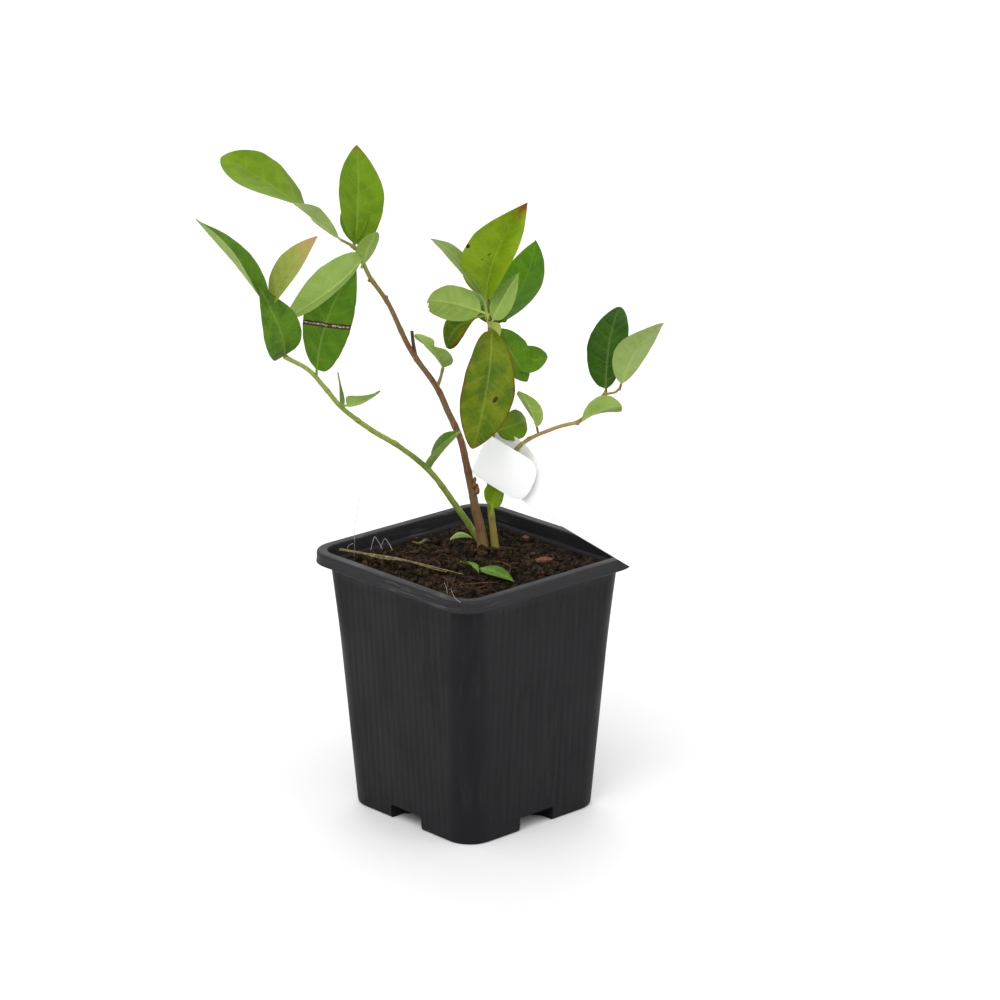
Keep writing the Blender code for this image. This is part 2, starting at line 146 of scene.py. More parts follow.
@dataclass(frozen=True)
class Ripple:
    """Smooth seeded unevenness from crossed sine waves, about -1 to 1.

    Attributes:
        seed: Picks the waves.
        waves: How many waves are added up.
    """
    seed: int
    waves: int = 6

    def at(self, first: Array, second: Array | float = 0.0) -> Array:
        """Read the unevenness.

        Args:
            first: First coordinate, where one unit is about one wavelength.
            second: Second coordinate, in the same units.

        Returns:
            Values of the coordinates' shape.
        """
        rng = np.random.default_rng(self.seed)
        total = np.zeros(np.broadcast(first, second).shape)
        for wave in range(self.waves):
            angle, phase = rng.uniform(0, 2 * math.pi, 2)
            pace = 2 * math.pi * (0.6 + 0.35 * wave)
            along = first * math.cos(angle) + second * math.sin(angle)
            total += np.sin(pace * along + phase) / (1 + 0.5 * wave)
        return total / 2


class MeshBuilder:
    """Gathers closed bodies as arrays and makes one mesh object of them all.

    Every body is a stack of rings closed by a fan at each end. It can carry named values on
    its points, which the finishes read as attributes, and a material number on each face.
    """

    def __init__(self, *value_names: str) -> None:
        """Start an empty mesh.

        Args:
            value_names: Names of the values that the points carry.
        """
        self.points: list[Array] = []
        self.faces: list[tuple[int, ...]] = []
        self.slots: list[int] = []
        self.values: dict[str, list[Array]] = {name: [] for name in value_names}
        self.count = 0

    def loft(self, rings: Array, slots: int | Array = 0, **values: Array) -> None:
        """Add one closed body.

        Args:
            rings: Points of shape (rings, points in a ring, 3), in metres.
            slots: Material number of all faces, or of each column of faces.
            values: Named values, each of shape (rings, points in a ring).
        """
        rows, columns = rings.shape[:2]
        flat = rings.reshape(-1, 3)
        index = np.arange(rows * columns).reshape(rows, columns)
        after = np.roll(index, -1, axis=1)
        quads = np.stack([index[:-1], after[:-1], after[1:], index[1:]], -1).reshape(-1, 4)
        poles = rows * columns + np.arange(2)
        start = np.stack([after[0], index[0], np.full(columns, poles[0])], -1)
        end = np.stack([index[-1], after[-1], np.full(columns, poles[1])], -1)
        fans = np.vstack([start, end])
        points = np.vstack([flat, rings[0].mean(0), rings[-1].mean(0)])
        corners = points[quads]
        volume = np.einsum("ij,ij->", corners[:, 0], np.cross(corners[:, 1], corners[:, 2]))
        volume += np.einsum("ij,ij->", corners[:, 0], np.cross(corners[:, 2], corners[:, 3]))
        trios = points[fans]
        volume += np.einsum("ij,ij->", trios[:, 0], np.cross(trios[:, 1], trios[:, 2]))
        turn = -1 if volume < 0 else 1
        column_slots = np.broadcast_to(np.asarray(slots), (columns,))
        self.faces += [tuple(face) for face in (quads[:, ::turn] + self.count).tolist()]
        self.faces += [tuple(face) for face in (fans[:, ::turn] + self.count).tolist()]
        self.slots += np.tile(column_slots, rows - 1).tolist() + np.tile(column_slots, 2).tolist()
        for name, kept in self.values.items():
            given = values.get(name)
            flat_values = np.zeros(rows * columns) if given is None else np.asarray(given).ravel()
            ends = [flat_values[:columns].mean(), flat_values[-columns:].mean()]
            kept.append(np.concatenate([flat_values, ends]))
        self.points.append(points)
        self.count += len(points)

    def tube(self, path: Array, radii: Array | float, sides: int = 8, slot: int = 0,
             flat: float = 1.0) -> None:
        """Add a round or flattened limb along a path.

        Args:
            path: Points of the middle line, in the plant frame.
            radii: Radius at each point, in millimetres.
            sides: How many sides it has.
            slot: Material number.
            flat: Height of its section as a share of its width.
        """
        self.loft(plant_to_part(tube_rings(path, radii, sides, flat)), slot)

    def build(self, name: str, finishes: Sequence[bpy.types.Material], slot: str,
              replaces: Sequence[str] = (), sharp: float = 40) -> bpy.types.Object:
        """Make the object, which rides on the part's one body.

        Args:
            name: Name of the piece.
            finishes: Its materials, in the order of the material numbers.
            slot: The record's material slot; not used.
            replaces: CAD nodes that it stands for.
            sharp: Faces that meet at more than this angle, in degrees, show an edge.

        Returns:
            The new object.
        """
        mesh = bpy.data.meshes.new(name)
        mesh.from_pydata(np.vstack(self.points).tolist(), [], self.faces)
        for finish in finishes:
            mesh.materials.append(finish)
        mesh.polygons.foreach_set("material_index", np.array(self.slots, np.int32))
        for value_name, parts in self.values.items():
            held = mesh.attributes.new(value_name, "FLOAT", "POINT")
            held.data.foreach_set("value", np.concatenate(parts).astype(np.float32))
        mesh.shade_smooth()
        mesh.set_sharp_from_angle(angle=math.radians(sharp))
        made = bpy.data.objects.new(name, mesh)
        bpy.context.scene.collection.objects.link(made)
        return settle(made, replaces)


def tube_rings(path: Array, radii: Array | float, sides: int, flat: float = 1.0) -> Array:
    """Rings square to a path, kept from twisting along it.

    Args:
        path: Points of the middle line.
        radii: Radius at each point, or at each point and side.
        sides: How many sides the rings have.
        flat: Height of the section as a share of its width.

    Returns:
        Points of shape (rings, sides, 3).
    """
    path = np.asarray(path, float)
    ways = unit(np.gradient(path, axis=0))
    side, _ = across(ways[0])
    sides_at, ups_at = [], []
    for way in ways:
        side = unit(side - way * (side @ way))
        sides_at.append(side)
        ups_at.append(np.cross(side, way))
    turns = np.linspace(0, 2 * math.pi, sides, endpoint=False)
    radii = np.broadcast_to(np.asarray(radii, float).reshape(-1, 1)
                            if np.ndim(radii) == 1 else radii, (len(path), sides))
    outward = (np.array(sides_at)[:, None] * np.cos(turns)[None, :, None]
               + np.array(ups_at)[:, None] * (np.sin(turns) * flat)[None, :, None])
    return path[:, None] + outward * radii[..., None]


def settle(piece: bpy.types.Object, replaces: Sequence[str] = ()) -> bpy.types.Object:
    """Tie a piece to the frame and log it.

    Args:
        piece: The finished object, in place.
        replaces: CAD nodes that it stands for.

    Returns:
        The same object.
    """
    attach(piece, "root")
    if replaces:
        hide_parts(*replaces)
    LOG.info("%s: %d faces", piece.name, len(piece.data.polygons))
    return piece


class Shader:
    """A material's node tree, with one short call for each kind of node used here."""

    def __init__(self, name: str) -> None:
        """Start a material with a plain Principled surface."""
        self.material = bpy.data.materials.new(name)
        self.material.use_nodes = True
        self.tree = self.material.node_tree
        self.surface = self.tree.nodes["Principled BSDF"]

    def node(self, kind: str, feeds: dict[str | int, Any], **settings: Any) -> bpy.types.Node:
        """Add a node.

        Args:
            kind: The node's type without its prefix.
            feeds: For each input, a plain value or the socket that feeds it.
            settings: The node's own options.

        Returns:
            The new node.
        """
        made = self.tree.nodes.new(f"ShaderNode{kind}")
        for key, value in settings.items():
            setattr(made, key, value)
        for key, value in feeds.items():
            self.feed(made.inputs[key], value)
        return made

    def feed(self, target: bpy.types.NodeSocket, value: Any) -> None:
        """Give an input a plain value, or link it to the socket that feeds it."""
        if isinstance(value, bpy.types.NodeSocket):
            self.tree.links.new(value, target)
        elif isinstance(value, tuple) and len(value) == 3 and target.type == "RGBA":
            target.default_value = (*value, 1)
        else:
            target.default_value = value

    def place(self, stretch: Point = (1, 1, 1)) -> bpy.types.NodeSocket:
        """The place on the object, stretched by a factor along each axis."""
        where = self.node("TexCoord", {}).outputs["Object"]
        return self.node("Mapping", {"Vector": where, "Scale": stretch}).outputs["Vector"]

    def noise(self, where: bpy.types.NodeSocket, scale: float, detail: float = 3,
              rough: float = 0.5) -> bpy.types.NodeSocket:
        """Cloudy values about 0.5 at a scale in waves per metre."""
        feeds = {"Vector": where, "Scale": scale, "Detail": detail, "Roughness": rough}
        return self.node("TexNoise", feeds).outputs[0]

    def cells(self, where: bpy.types.NodeSocket, scale: float) -> bpy.types.NodeSocket:
        """Distance to the edges of a net of cells."""
        feeds = {"Vector": where, "Scale": scale}
        return self.node("TexVoronoi", feeds, feature="DISTANCE_TO_EDGE").outputs["Distance"]

    def carried(self, name: str) -> bpy.types.NodeSocket:
        """A value that the mesh carries on its points."""
        return self.node("Attribute", {}, attribute_name=name).outputs["Fac"]

    def step(self, value: bpy.types.NodeSocket, low: float, high: float, start: float = 0,
             end: float = 1) -> bpy.types.NodeSocket:
        """A soft step from start to end as a value goes from low to high."""
        feeds = {"Value": value, "From Min": low, "From Max": high, "To Min": start, "To Max": end}
        return self.node("MapRange", feeds, interpolation_type="SMOOTHSTEP").outputs[0]

    def maths(self, operation: str, first: Any, second: Any) -> bpy.types.NodeSocket:
        """One sum on two values."""
        return self.node("Math", {0: first, 1: second}, operation=operation).outputs[0]

    def blend(self, share: Any, first: Any, second: Any) -> bpy.types.NodeSocket:
        """A colour between two colours."""
        return self.node("Mix", {0: share, 6: first, 7: second}, data_type="RGBA").outputs[2]

    def relief(self, height: bpy.types.NodeSocket, depth: float,
               under: bpy.types.NodeSocket | None = None) -> bpy.types.NodeSocket:
        """A normal bent by a height of a given depth in metres."""
        feeds: dict[str | int, Any] = {"Height": height, "Distance": depth, "Strength": 1.0}
        if under is not None:
            feeds["Normal"] = under
        return self.node("Bump", feeds).outputs[0]

    def finish(self, colour: Any, rough: Any, normal: Any = None, **plain: float) -> bpy.types.Material:
        """Feed the surface.

        Args:
            colour: Base colour, or the socket that feeds it.
            rough: Roughness, or the socket that feeds it.
            normal: The socket of a bent normal.
            plain: Other inputs by name, with spaces as underscores, as plain numbers.

        Returns:
            The finished material.
        """
        self.feed(self.surface.inputs["Base Color"], colour)
        self.feed(self.surface.inputs["Roughness"], rough)
        if normal is not None:
            self.feed(self.surface.inputs["Normal"], normal)
        for key, value in plain.items():
            self.surface.inputs[key.replace("_", " ")].default_value = value
        return self.material


@dataclass(frozen=True)
class LeafSide:
    """Finish of one side of a leaf.

    Attributes:
        name: Name of the material.
        blade: Main green.
        deep: The green of its darker patches.
        vein: Colour of the midrib and veins.
        blush: Colour of the reddened tip or margin.
        rough: Mean roughness.
        net: How much the finest veins show, from 0 to 1.
        gloss: Specular level.
    """
    name: str
    blade: Colour
    deep: Colour
    vein: Colour
    blush: Colour
    rough: float = 0.42
    net: float = 0.12
    gloss: float = 0.08

    def dress(self) -> bpy.types.Material:
        """Make the material, once for each side.

        Returns:
            The material, which reads the mesh's vein, blush and scar values.
        """
        known = bpy.data.materials.get(self.name)
        if known:
            return known
        shader = Shader(self.name)
        where = shader.place()
        patches = shader.step(shader.noise(where, 150, 4), 0.36, 0.66)
        cells = shader.cells(where, 950)
        fine = shader.step(cells, 0.02, 0.14, self.net, 0.0)
        mottle = shader.noise(where, 1400, 4, 0.65)
        colour = shader.blend(patches, self.blade, self.deep)
        colour = shader.blend(fine, colour, self.vein)
        colour = shader.blend(shader.step(mottle, 0.45, 0.75, 0.0, 0.22), colour, self.deep)
        colour = shader.blend(shader.carried("vein"), colour, self.vein)
        uneven = shader.maths("MULTIPLY", shader.maths("SUBTRACT", shader.noise(where, 420, 5), 0.5), 0.9)
        red = shader.step(shader.maths("ADD", shader.carried("blush"), uneven), 0.25, 0.95, 0.0, 0.9)
        colour = shader.blend(red, colour, self.blush)
        burnt = shader.step(shader.maths("ADD", shader.carried("scar"), uneven), 0.4, 0.62)
        colour = shader.blend(burnt, colour, SCAR_BROWN)
        bare = shader.maths("MULTIPLY", shader.step(shader.carried("scar"), 1.1, 1.3),
                            shader.step(mottle, 0.46, 0.56))
        colour = shader.blend(bare, colour, SILVER)
        rough = shader.step(mottle, 0.3, 0.7, self.rough - 0.06, self.rough + 0.1)
        height = shader.maths("ADD", shader.step(cells, 0.0, 0.3), shader.maths("MULTIPLY", mottle, 0.5))
        return shader.finish(colour, rough, shader.relief(height, 0.05 * MM), Specular_IOR_Level=self.gloss)


SCAR_BROWN = screen_colour(52, 36, 10)
SILVER = screen_colour(168, 168, 158)
REDDENED = screen_colour(112, 66, 34)


def leaf_sides(name: str, upper: tuple[Colour, Colour], under: tuple[Colour, Colour],
               blush: Colour = REDDENED, rough: float = 0.42) -> tuple[LeafSide, LeafSide]:
    """Describe both sides of a kind of leaf.

    Args:
        name: Name of the kind.
        upper: Main and deeper green of the upper side.
        under: Main and deeper green of the underside.
        blush: Colour of reddened places.
        rough: Roughness of the upper side.

    Returns:
        The finish of the upper side and of the underside, whose veins are paler.
    """
    def paler(colour: Colour, share: float) -> Colour:
        """The colour part of the way to a pale yellow-green."""
        return tuple(part + (aim - part) * share for part, aim in zip(colour, screen_colour(188, 204, 120)))

    return (LeafSide(f"leaf_{name}", *upper, paler(upper[0], 0.24), blush, rough),
            LeafSide(f"leaf_{name}_under", *under, paler(under[0], 0.36), blush, 0.55, 0.08, 0.08))


class LeafTint(Enum):
    """Named greens, each with the finish of a leaf's upper and lower side."""
    BRIGHT = leaf_sides("bright", (screen_colour(98, 126, 10), screen_colour(84, 113, 4)),
                        (screen_colour(146, 168, 98), screen_colour(136, 158, 86)))
    FRESH = leaf_sides("fresh", (screen_colour(93, 123, 6), screen_colour(80, 112, 4)),
                       (screen_colour(132, 156, 76), screen_colour(122, 147, 66)))
    GRASS = leaf_sides("grass", (screen_colour(71, 108, 4), screen_colour(58, 96, 3)),
                       (screen_colour(133, 159, 78), screen_colour(125, 152, 70)), rough=0.4)
    DUSKY = leaf_sides("dusky", (screen_colour(74, 110, 18), screen_colour(50, 86, 12)),
                       (screen_colour(127, 150, 80), screen_colour(117, 140, 70)), rough=0.34)
    DEEP = leaf_sides("deep", (screen_colour(42, 77, 3), screen_colour(28, 65, 3)),
                      (screen_colour(138, 159, 90), screen_colour(131, 152, 82)), rough=0.38)
    OLIVE = leaf_sides("olive", (screen_colour(112, 137, 18), screen_colour(96, 123, 8)),
                       (screen_colour(133, 156, 70), screen_colour(121, 144, 62)),
                       screen_colour(122, 66, 18), 0.38)
    BRONZE = leaf_sides("bronze", (screen_colour(91, 105, 4), screen_colour(58, 84, 3)),
                        (screen_colour(127, 146, 72), screen_colour(117, 135, 64)),
                        screen_colour(92, 50, 16), 0.34)
    LIVELY = leaf_sides("lively", (screen_colour(78, 124, 3), screen_colour(66, 112, 3)),
                        (screen_colour(133, 159, 78), screen_colour(125, 152, 70)), rough=0.4)
    PALE = leaf_sides("pale", (screen_colour(110, 130, 66), screen_colour(100, 121, 56)),
                      (screen_colour(164, 190, 96), screen_colour(152, 180, 84)))
    ROSY = leaf_sides("rosy", (screen_colour(135, 144, 66), screen_colour(122, 138, 56)),
                      (screen_colour(144, 148, 90), screen_colour(133, 140, 80)),
                      screen_colour(166, 116, 86), 0.48)


@dataclass(frozen=True)
class BarkFinish:
    """Finish of a young stem.

    Attributes:
        name: Name of the material.
        skin: Main colour.
        streak: Colour of the long streaks.
        flush: Colour of the large patches.
        rough: Roughness.
        fresh: Colour of the part above fresh_from.
        fresh_from: Height in metres from which the wood is still fresh.
    """
    name: str
    skin: Colour
    streak: Colour
    flush: Colour
    rough: float = 0.55
    fresh: Colour = (0.2, 0.2, 0.05)
    fresh_from: float = 1.0

    def dress(self) -> bpy.types.Material:
        """Make the material: large patches, long streaks and fine relief."""
        shader = Shader(self.name)
        patches = shader.step(shader.noise(shader.place(), 110, 3), 0.42, 0.62)
        streaks = shader.noise(shader.place((1, 1, 0.12)), 1500, 4, 0.6)
        colour = shader.blend(patches, self.skin, self.flush)
        colour = shader.blend(shader.step(streaks, 0.42, 0.68), colour, self.streak)
        height = shader.node("SeparateXYZ", {0: shader.place()}).outputs["Z"]
        fresh = shader.step(height, self.fresh_from, self.fresh_from + 12 * MM, 0.0, 0.85)
        colour = shader.blend(fresh, colour, self.fresh)
        colour = shader.blend(shader.step(shader.carried("ring"), 0.2, 1.0, 0.0, 0.5), colour, NODE_BROWN)
        normal = shader.relief(streaks, 0.12 * MM)
        return shader.finish(colour, self.rough, normal, Specular_IOR_Level=0.2)


NODE_BROWN = screen_colour(112, 68, 44)


@dataclass(frozen=True)
class MouldedBlack:
    """Finish of the pot: satin black plastic with dusty streaks, rubbed edges and a painted highlight that lightens
    the lip.
    """
    name: str = "black_moulded_plastic"
    body: Colour = (0.0048, 0.0048, 0.0062)
    dust: Colour = (0.013, 0.013, 0.014)
    # worn is the grey of a painted highlight: the whole lip is lightened towards it, standing in for light on the rim.
    worn: Colour = (0.024, 0.024, 0.026)
    rubbed: Colour = (0.085, 0.085, 0.09)
    rough: float = 0.52
    lip_height: float = 93.5 * MM

    def dress(self) -> bpy.types.Material:
        """Make the material."""
        shader = Shader(self.name)
        streaks = shader.noise(shader.place((1, 1, 0.05)), 420, 5, 0.6)
        clouds = shader.noise(shader.place(), 38, 4)
        grain = shader.noise(shader.place(), 2600, 2)
        dusty = shader.maths("MULTIPLY", shader.step(streaks, 0.46, 0.74), shader.step(clouds, 0.35, 0.7))
        colour = shader.blend(dusty, self.body, self.dust)
        height = shader.node("SeparateXYZ", {0: shader.place()}).outputs["Z"]
        # Painted highlight: from lip_height up, the colour is blended part way to the worn grey.
        lip = shader.step(height, self.lip_height, self.lip_height + 2 * MM, 0.0, 0.55)
        colour = shader.blend(lip, colour, self.worn)
        rings = shader.noise(shader.place((0.035, 0.035, 1)), 1500, 5, 0.65)
        scuffed = shader.maths("MULTIPLY", shader.step(height, self.lip_height, self.lip_height + 2 * MM),
                               shader.step(rings, 0.53, 0.7, 0.0, 0.8))
        colour = shader.blend(shader.maths("MULTIPLY", scuffed, shader.step(clouds, 0.42, 0.62)),
                              colour, self.rubbed)
        rough = shader.step(clouds, 0.3, 0.7, self.rough - 0.08, self.rough + 0.1)
        normal = shader.relief(grain, 0.03 * MM, shader.relief(streaks, 0.05 * MM))
        return shader.finish(colour, rough, normal, Specular_IOR_Level=0.16)


@dataclass(frozen=True)
class EarthFinish:
    """Finish of compost, chips and straw: mottled and dull.

    Attributes:
        name: Name of the material.
        dark: Colour where the relief sinks, a painted shade in its hollows.
        light: Colour where the relief rises, painted light on its tops.
        scale: Size of the mottling, in waves per metre.
        rough: Roughness.
        depth: Depth of the relief, in millimetres.
        stretch: How the mottling is stretched along each axis.
    """
    name: str
    dark: Colour
    light: Colour
    scale: float = 700
    rough: float = 0.9
    depth: float = 0.4
    stretch: Point = (1, 1, 1)

    def dress(self) -> bpy.types.Material:
        """Make the material."""
        shader = Shader(self.name)
        mottle = shader.noise(shader.place(self.stretch), self.scale, 6, 0.7)
        # The mottle sets both colour and relief. Over the material's own mottled tone, the dark colour is painted
        # shade in the sunk hollows and the light colour is painted light on the raised tops.
        colour = shader.blend(shader.step(mottle, 0.4, 0.68), self.dark, self.light)
        damp = shader.step(shader.noise(shader.place(), self.scale / 5, 3), 0.42, 0.62, 0.0, 0.6)
        colour = shader.blend(damp, colour, self.dark)
        normal = shader.relief(mottle, self.depth * MM)
        return shader.finish(colour, self.rough, normal, Specular_IOR_Level=0.06)


@dataclass(frozen=True)
class LabelFinish:
    """Finish of the blank label: white plastic film with faint clouds and handling marks."""
    name: str = "white_label_plastic"
    white: Colour = (0.975, 0.98, 0.985)
    mark: Colour = (0.92, 0.925, 0.92)

    def dress(self) -> bpy.types.Material:
        """Make the material."""
        shader = Shader(self.name)
        clouds = shader.noise(shader.place(), 70, 4)
        colour = shader.blend(shader.step(clouds, 0.5, 0.8, 0.0, 0.5), self.white, self.mark)
        rough = shader.step(shader.noise(shader.place(), 300, 3), 0.3, 0.7, 0.38, 0.5)
        normal = shader.relief(shader.noise(shader.place(), 1800, 2), 0.01 * MM)
        shader.surface.inputs["Subsurface Radius"].default_value = (1, 1, 1)
        return shader.finish(colour, rough, normal, Subsurface_Weight=0.15, Subsurface_Scale=6 * MM)


class Blush(Enum):
    """Where a leaf has turned red."""
    NONE = "none"
    TIP = "tip"
    EDGES = "edges"
    RIGHT = "right"
    LEFT = "left"
    SPENT = "spent"


@dataclass(frozen=True)
class Scar:
    """A dead spot or band on a leaf.

    Attributes:
        along: Its place along the blade, from 0 at the foot to 1 at the tip.
        out: Its place across, from -1 at the left margin to 1 at the right.
        length: Its reach along the blade, as a share of the blade.
        width: Its reach across, as a share of the half blade.
        slant: How much further along it lies at the right margin than at the midrib.
        depth: Over 1, its middle is worn to bare silvery skin.
    """
    along: float
    out: float
    length: float
    width: float
    slant: float = 0.0
    depth: float = 1.0


@dataclass(frozen=True)
class Notch:
    """A bite out of one margin.

    Attributes:
        along: Its place along the blade, from 0 to 1.
        side: -1 for the left margin, 1 for the right one.
        depth: How deep it is, as a share of the half blade.
        spread: Its reach along the blade, as a share of the blade.
    """
    along: float
    side: int
    depth: float
    spread: float


@dataclass(frozen=True)
class Blade:
    """One leaf in the plant frame, in millimetres and degrees.

    Attributes:
        foot: Where its stalk springs.
        heading: Way from foot to tip, where 0 is right and 90 is back.
        rise: Climb from foot to tip.
        length: From foot to tip.
        width: Greatest width.
        roll: Turn of the blade about that line from facing up.
        twist: How far it turns from foot to tip.
        arch: Bow of the midrib towards its face.
        sweep: Bow of the midrib to its right.
        fold: How far each half is lifted.
        widest: Place of the greatest width, from 0 to 1.
        foot_power: How pointed the foot is: 0.5 is round, 1 is a wedge.
        tip_power: How pointed the tip is.
        turns: Places along the leaf and its turn there in degrees, in place of an even twist.
        start: Where the stalk begins, measured from the foot.
        stalk: Length of the bare stalk.
        left_fold: What the left half is lifted beyond fold.
        right_fold: What the right half is lifted beyond fold.
        cup: Hollow of each half, as a share of its width.
        wave: Height of the margin's waves.
        tint: Its greens.
        blush: Where it has turned red.
        blush_share: How strongly.
        stalk_red: How red its stalk is.
        scars: Its dead spots.
        notches: Bites out of its margins.
    """
    foot: Point
    heading: float
    rise: float
    length: float
    width: float
    roll: float = 0
    twist: float = 0
    arch: float = 2
    sweep: float = 0
    fold: float = 12
    widest: float = 0.46
    foot_power: float = 0.66
    tip_power: float = 0.85
    turns: tuple[tuple[float, float], ...] = ()
    start: float = -0.8
    stalk: float = 1.8
    left_fold: float = 0
    right_fold: float = 0
    cup: float = 0.03
    wave: float = 0.35
    tint: LeafTint = LeafTint.GRASS
    blush: Blush = Blush.NONE
    blush_share: float = 1.0
    stalk_red: float = 0.3
    scars: tuple[Scar, ...] = ()
    notches: tuple[Notch, ...] = ()

    def spine(self, t: Array) -> tuple[Array, Array, Array]:
        """Follow the midrib.

        Args:
            t: Places along it, from 0 at the foot to 1 at the tip.

        Returns:
            Points of the midrib, and there the directions to the blade's right and out of
            its upper face.
        """
        heading, rise = math.radians(self.heading), math.radians(self.rise)
        way = np.array((math.cos(rise) * math.cos(heading), math.cos(rise) * math.sin(heading),
                        math.sin(rise)))
        side, face = across(way)
        roll = math.radians(self.roll)
        face, side = (face * math.cos(roll) + side * math.sin(roll),
                      side * math.cos(roll) - face * math.sin(roll))
        t = t[..., None]
        points = (np.array(self.foot) + way * self.length * t
                  + 4 * t * (1 - t) * (face * self.arch + side * self.sweep))
        turn = np.radians(np.interp(t, *zip(*self.turns)) if self.turns else self.twist * (t - 0.5))
        out = side * np.cos(turn) - face * np.sin(turn)
        up = face * np.cos(turn) + side * np.sin(turn)
        return points, out, up


@dataclass(frozen=True)
class LeafShape:
    """How a leaf's mesh is laid out and what relief it has, in millimetres.

    The rows of the mesh run along the side veins, which leave the midrib forwards.
    """
    thickness: float = 0.24
    stalk_radius: float = 0.5
    midrib_foot: float = 0.42
    midrib_tip: float = 0.14
    vein_relief: float = 0.1
    quilting: float = 0.22
    forward: float = 0.17
    row_pitch: float = 0.5
    column_pitch: float = 0.55
    vein_pairs: int = 6
    stalk_rows: int = 6

    def outline(self, blade: Blade, tau: Array) -> Array:
        """Half width of the blade, where tau goes from 0 at its foot to 1 at its tip."""
        tau = np.clip(tau, 0, 1)
        peak = math.log(0.5) / math.log(blade.widest)
        power = blade.foot_power + (blade.tip_power - blade.foot_power) * tau ** 2 * (3 - 2 * tau)
        return blade.width / 2 * np.sin(math.pi * tau ** peak).clip(0) ** power

    def add(self, mesh: MeshBuilder, blade: Blade, seed: int) -> None:
        """Add one leaf to a mesh as a closed body, its upper face in material 0.

        Args:
            mesh: The mesh, whose points carry vein, blush and scar.
            blade: The leaf.
            seed: Picks its own unevenness.
        """
        across_count = 2 * max(8, round(blade.width / self.column_pitch / 2)) + 1
        spread = np.linspace(-1, 1, across_count)
        u = np.sign(spread) * np.abs(spread) ** 1.25
        rows = max(24, round(blade.length / self.row_pitch))
        s = np.concatenate([np.zeros(self.stalk_rows), np.linspace(0, 1, rows)])[:, None]
        foot_share = blade.stalk / blade.length
        tau = s + 4 * self.forward * s * (1 - s) * (0.7 * abs(u) + 0.3 * u ** 2)
        t = foot_share + (1 - foot_share) * tau
        t[:self.stalk_rows] = np.linspace(blade.start / blade.length, foot_share,
                                          self.stalk_rows + 1)[:-1, None]
        half = self.half_width(blade, tau, u, seed)
        half[:self.stalk_rows] = self.stalk_radius
        self.place(mesh, blade, seed, s, t, u, half)

    def half_width(self, blade: Blade, tau: Array, u: Array, seed: int) -> Array:
        """Half width at each point, with the margin's wobble and bites.

        Args:
            blade: The leaf.
            tau: Places along the blade.
            u: Places across it, from -1 to 1.
            seed: Picks the wobble.

        Returns:
            Half widths, of the shape of tau and u together.
        """
        sides = np.where(u < 0, -1.0, 1.0)
        half = self.outline(blade, tau) * (1 + 0.018 * Ripple(seed + 11).at(tau * 5, sides * 3))
        for notch in blade.notches:
            bite = notch.depth * bump(tau, notch.along, notch.spread)
            half = half * (1 - np.where(sides == notch.side, bite, 0))
        stalk = self.stalk_radius * (1 - 0.85 * tau)
        return np.hypot(half, stalk)

    def place(self, mesh: MeshBuilder, blade: Blade, seed: int, s: Array, t: Array, u: Array,
              half: Array) -> None:
        """Work out the leaf's surface and add it.

        Args:
            mesh: The mesh that takes it.
            blade: The leaf.
            seed: Picks its own unevenness.
            s: Row places, from 0 to 1, in a column.
            t: Places along the midrib of every point.
            u: Places across, from -1 to 1, in a row.
            half: Half width at every point.
        """
        x = u * half
        sides = np.sign(u)
        lift = np.radians(blade.fold + np.where(u < 0, blade.left_fold, blade.right_fold))
        soft = 0.25 + 0.04 * half
        slope = lift * np.abs(x) / np.hypot(x, soft)
        rise = np.sin(lift) * (np.hypot(x, soft) - soft) + blade.cup * half * u ** 2
        points, out, up = blade.spine(t)
        normal = up * np.cos(slope)[..., None] - out * (sides * np.sin(slope))[..., None]
        stalky = (self.stalk_radius * (1 - 0.85 * s) / half) ** 2
        field = self.relief(blade, seed, s, u, x, half) * (1 - stalky)
        middle = (points + out * (x * np.cos(lift))[..., None] + up * rise[..., None]
                  + normal * field[..., None])
        bulge = np.sqrt(np.clip(1 - u ** 2, 0, 1))
        sheet = self.thickness / 2 * np.sqrt(np.clip(1 - u ** 8, 0, 1)) * (1 - stalky)
        radius = self.midrib_foot + (self.midrib_tip - self.midrib_foot) * s
        over = sheet + stalky * 0.3 * bulge
        under = sheet + stalky * 0.45 * bulge + radius * np.exp(-(x / radius) ** 2) * (1 - stalky)
        top = middle + normal * over[..., None]
        low = middle - normal * under[..., None]
        rings = np.concatenate([top, low[:, -2:0:-1]], 1)
        slots = np.r_[np.zeros(len(u) - 1), np.ones(len(u) - 1)].astype(int)
        values = self.values(blade, s, u, x, t)
        values["blush"][:self.stalk_rows] = blade.stalk_red
        values = {name: np.concatenate([kept, kept[:, -2:0:-1]], 1) for name, kept in values.items()}
        mesh.loft(plant_to_part(rings), slots, **values)

    def relief(self, blade: Blade, seed: int, s: Array, u: Array, x: Array, half: Array) -> Array:
        """Height of the middle surface: waves, quilting between the veins, sunk veins.

        Args:
            blade: The leaf.
            seed: Picks its unevenness.
            s: Row places.
            u: Places across.
            x: Distance from the midrib.
            half: Half width.

        Returns:
            Heights in millimetres.
        """
        sides = np.where(u < 0, -1.0, 1.0)
        size = blade.width / 20
        waves = blade.wave * np.abs(u) ** 2.2 * Ripple(seed, 3).at(s * 1.6, sides * 7)
        swell = 0.35 * size * Ripple(seed + 5, 3).at(s * 1.3, u * 0.7)
        between = np.sin(math.pi * self.vein_phase(s, sides)) ** 2
        quilted = self.quilting * size * between * np.abs(u) ** 0.6 * (1 - u ** 4)
        groove = -0.12 * np.exp(-(x / 0.4) ** 2)
        veins = -self.vein_relief * self.vein_lines(s, u)
        curl = -0.03 * half * u ** 6
        return waves + swell + (quilted + veins) * self.inside(s) + groove + curl

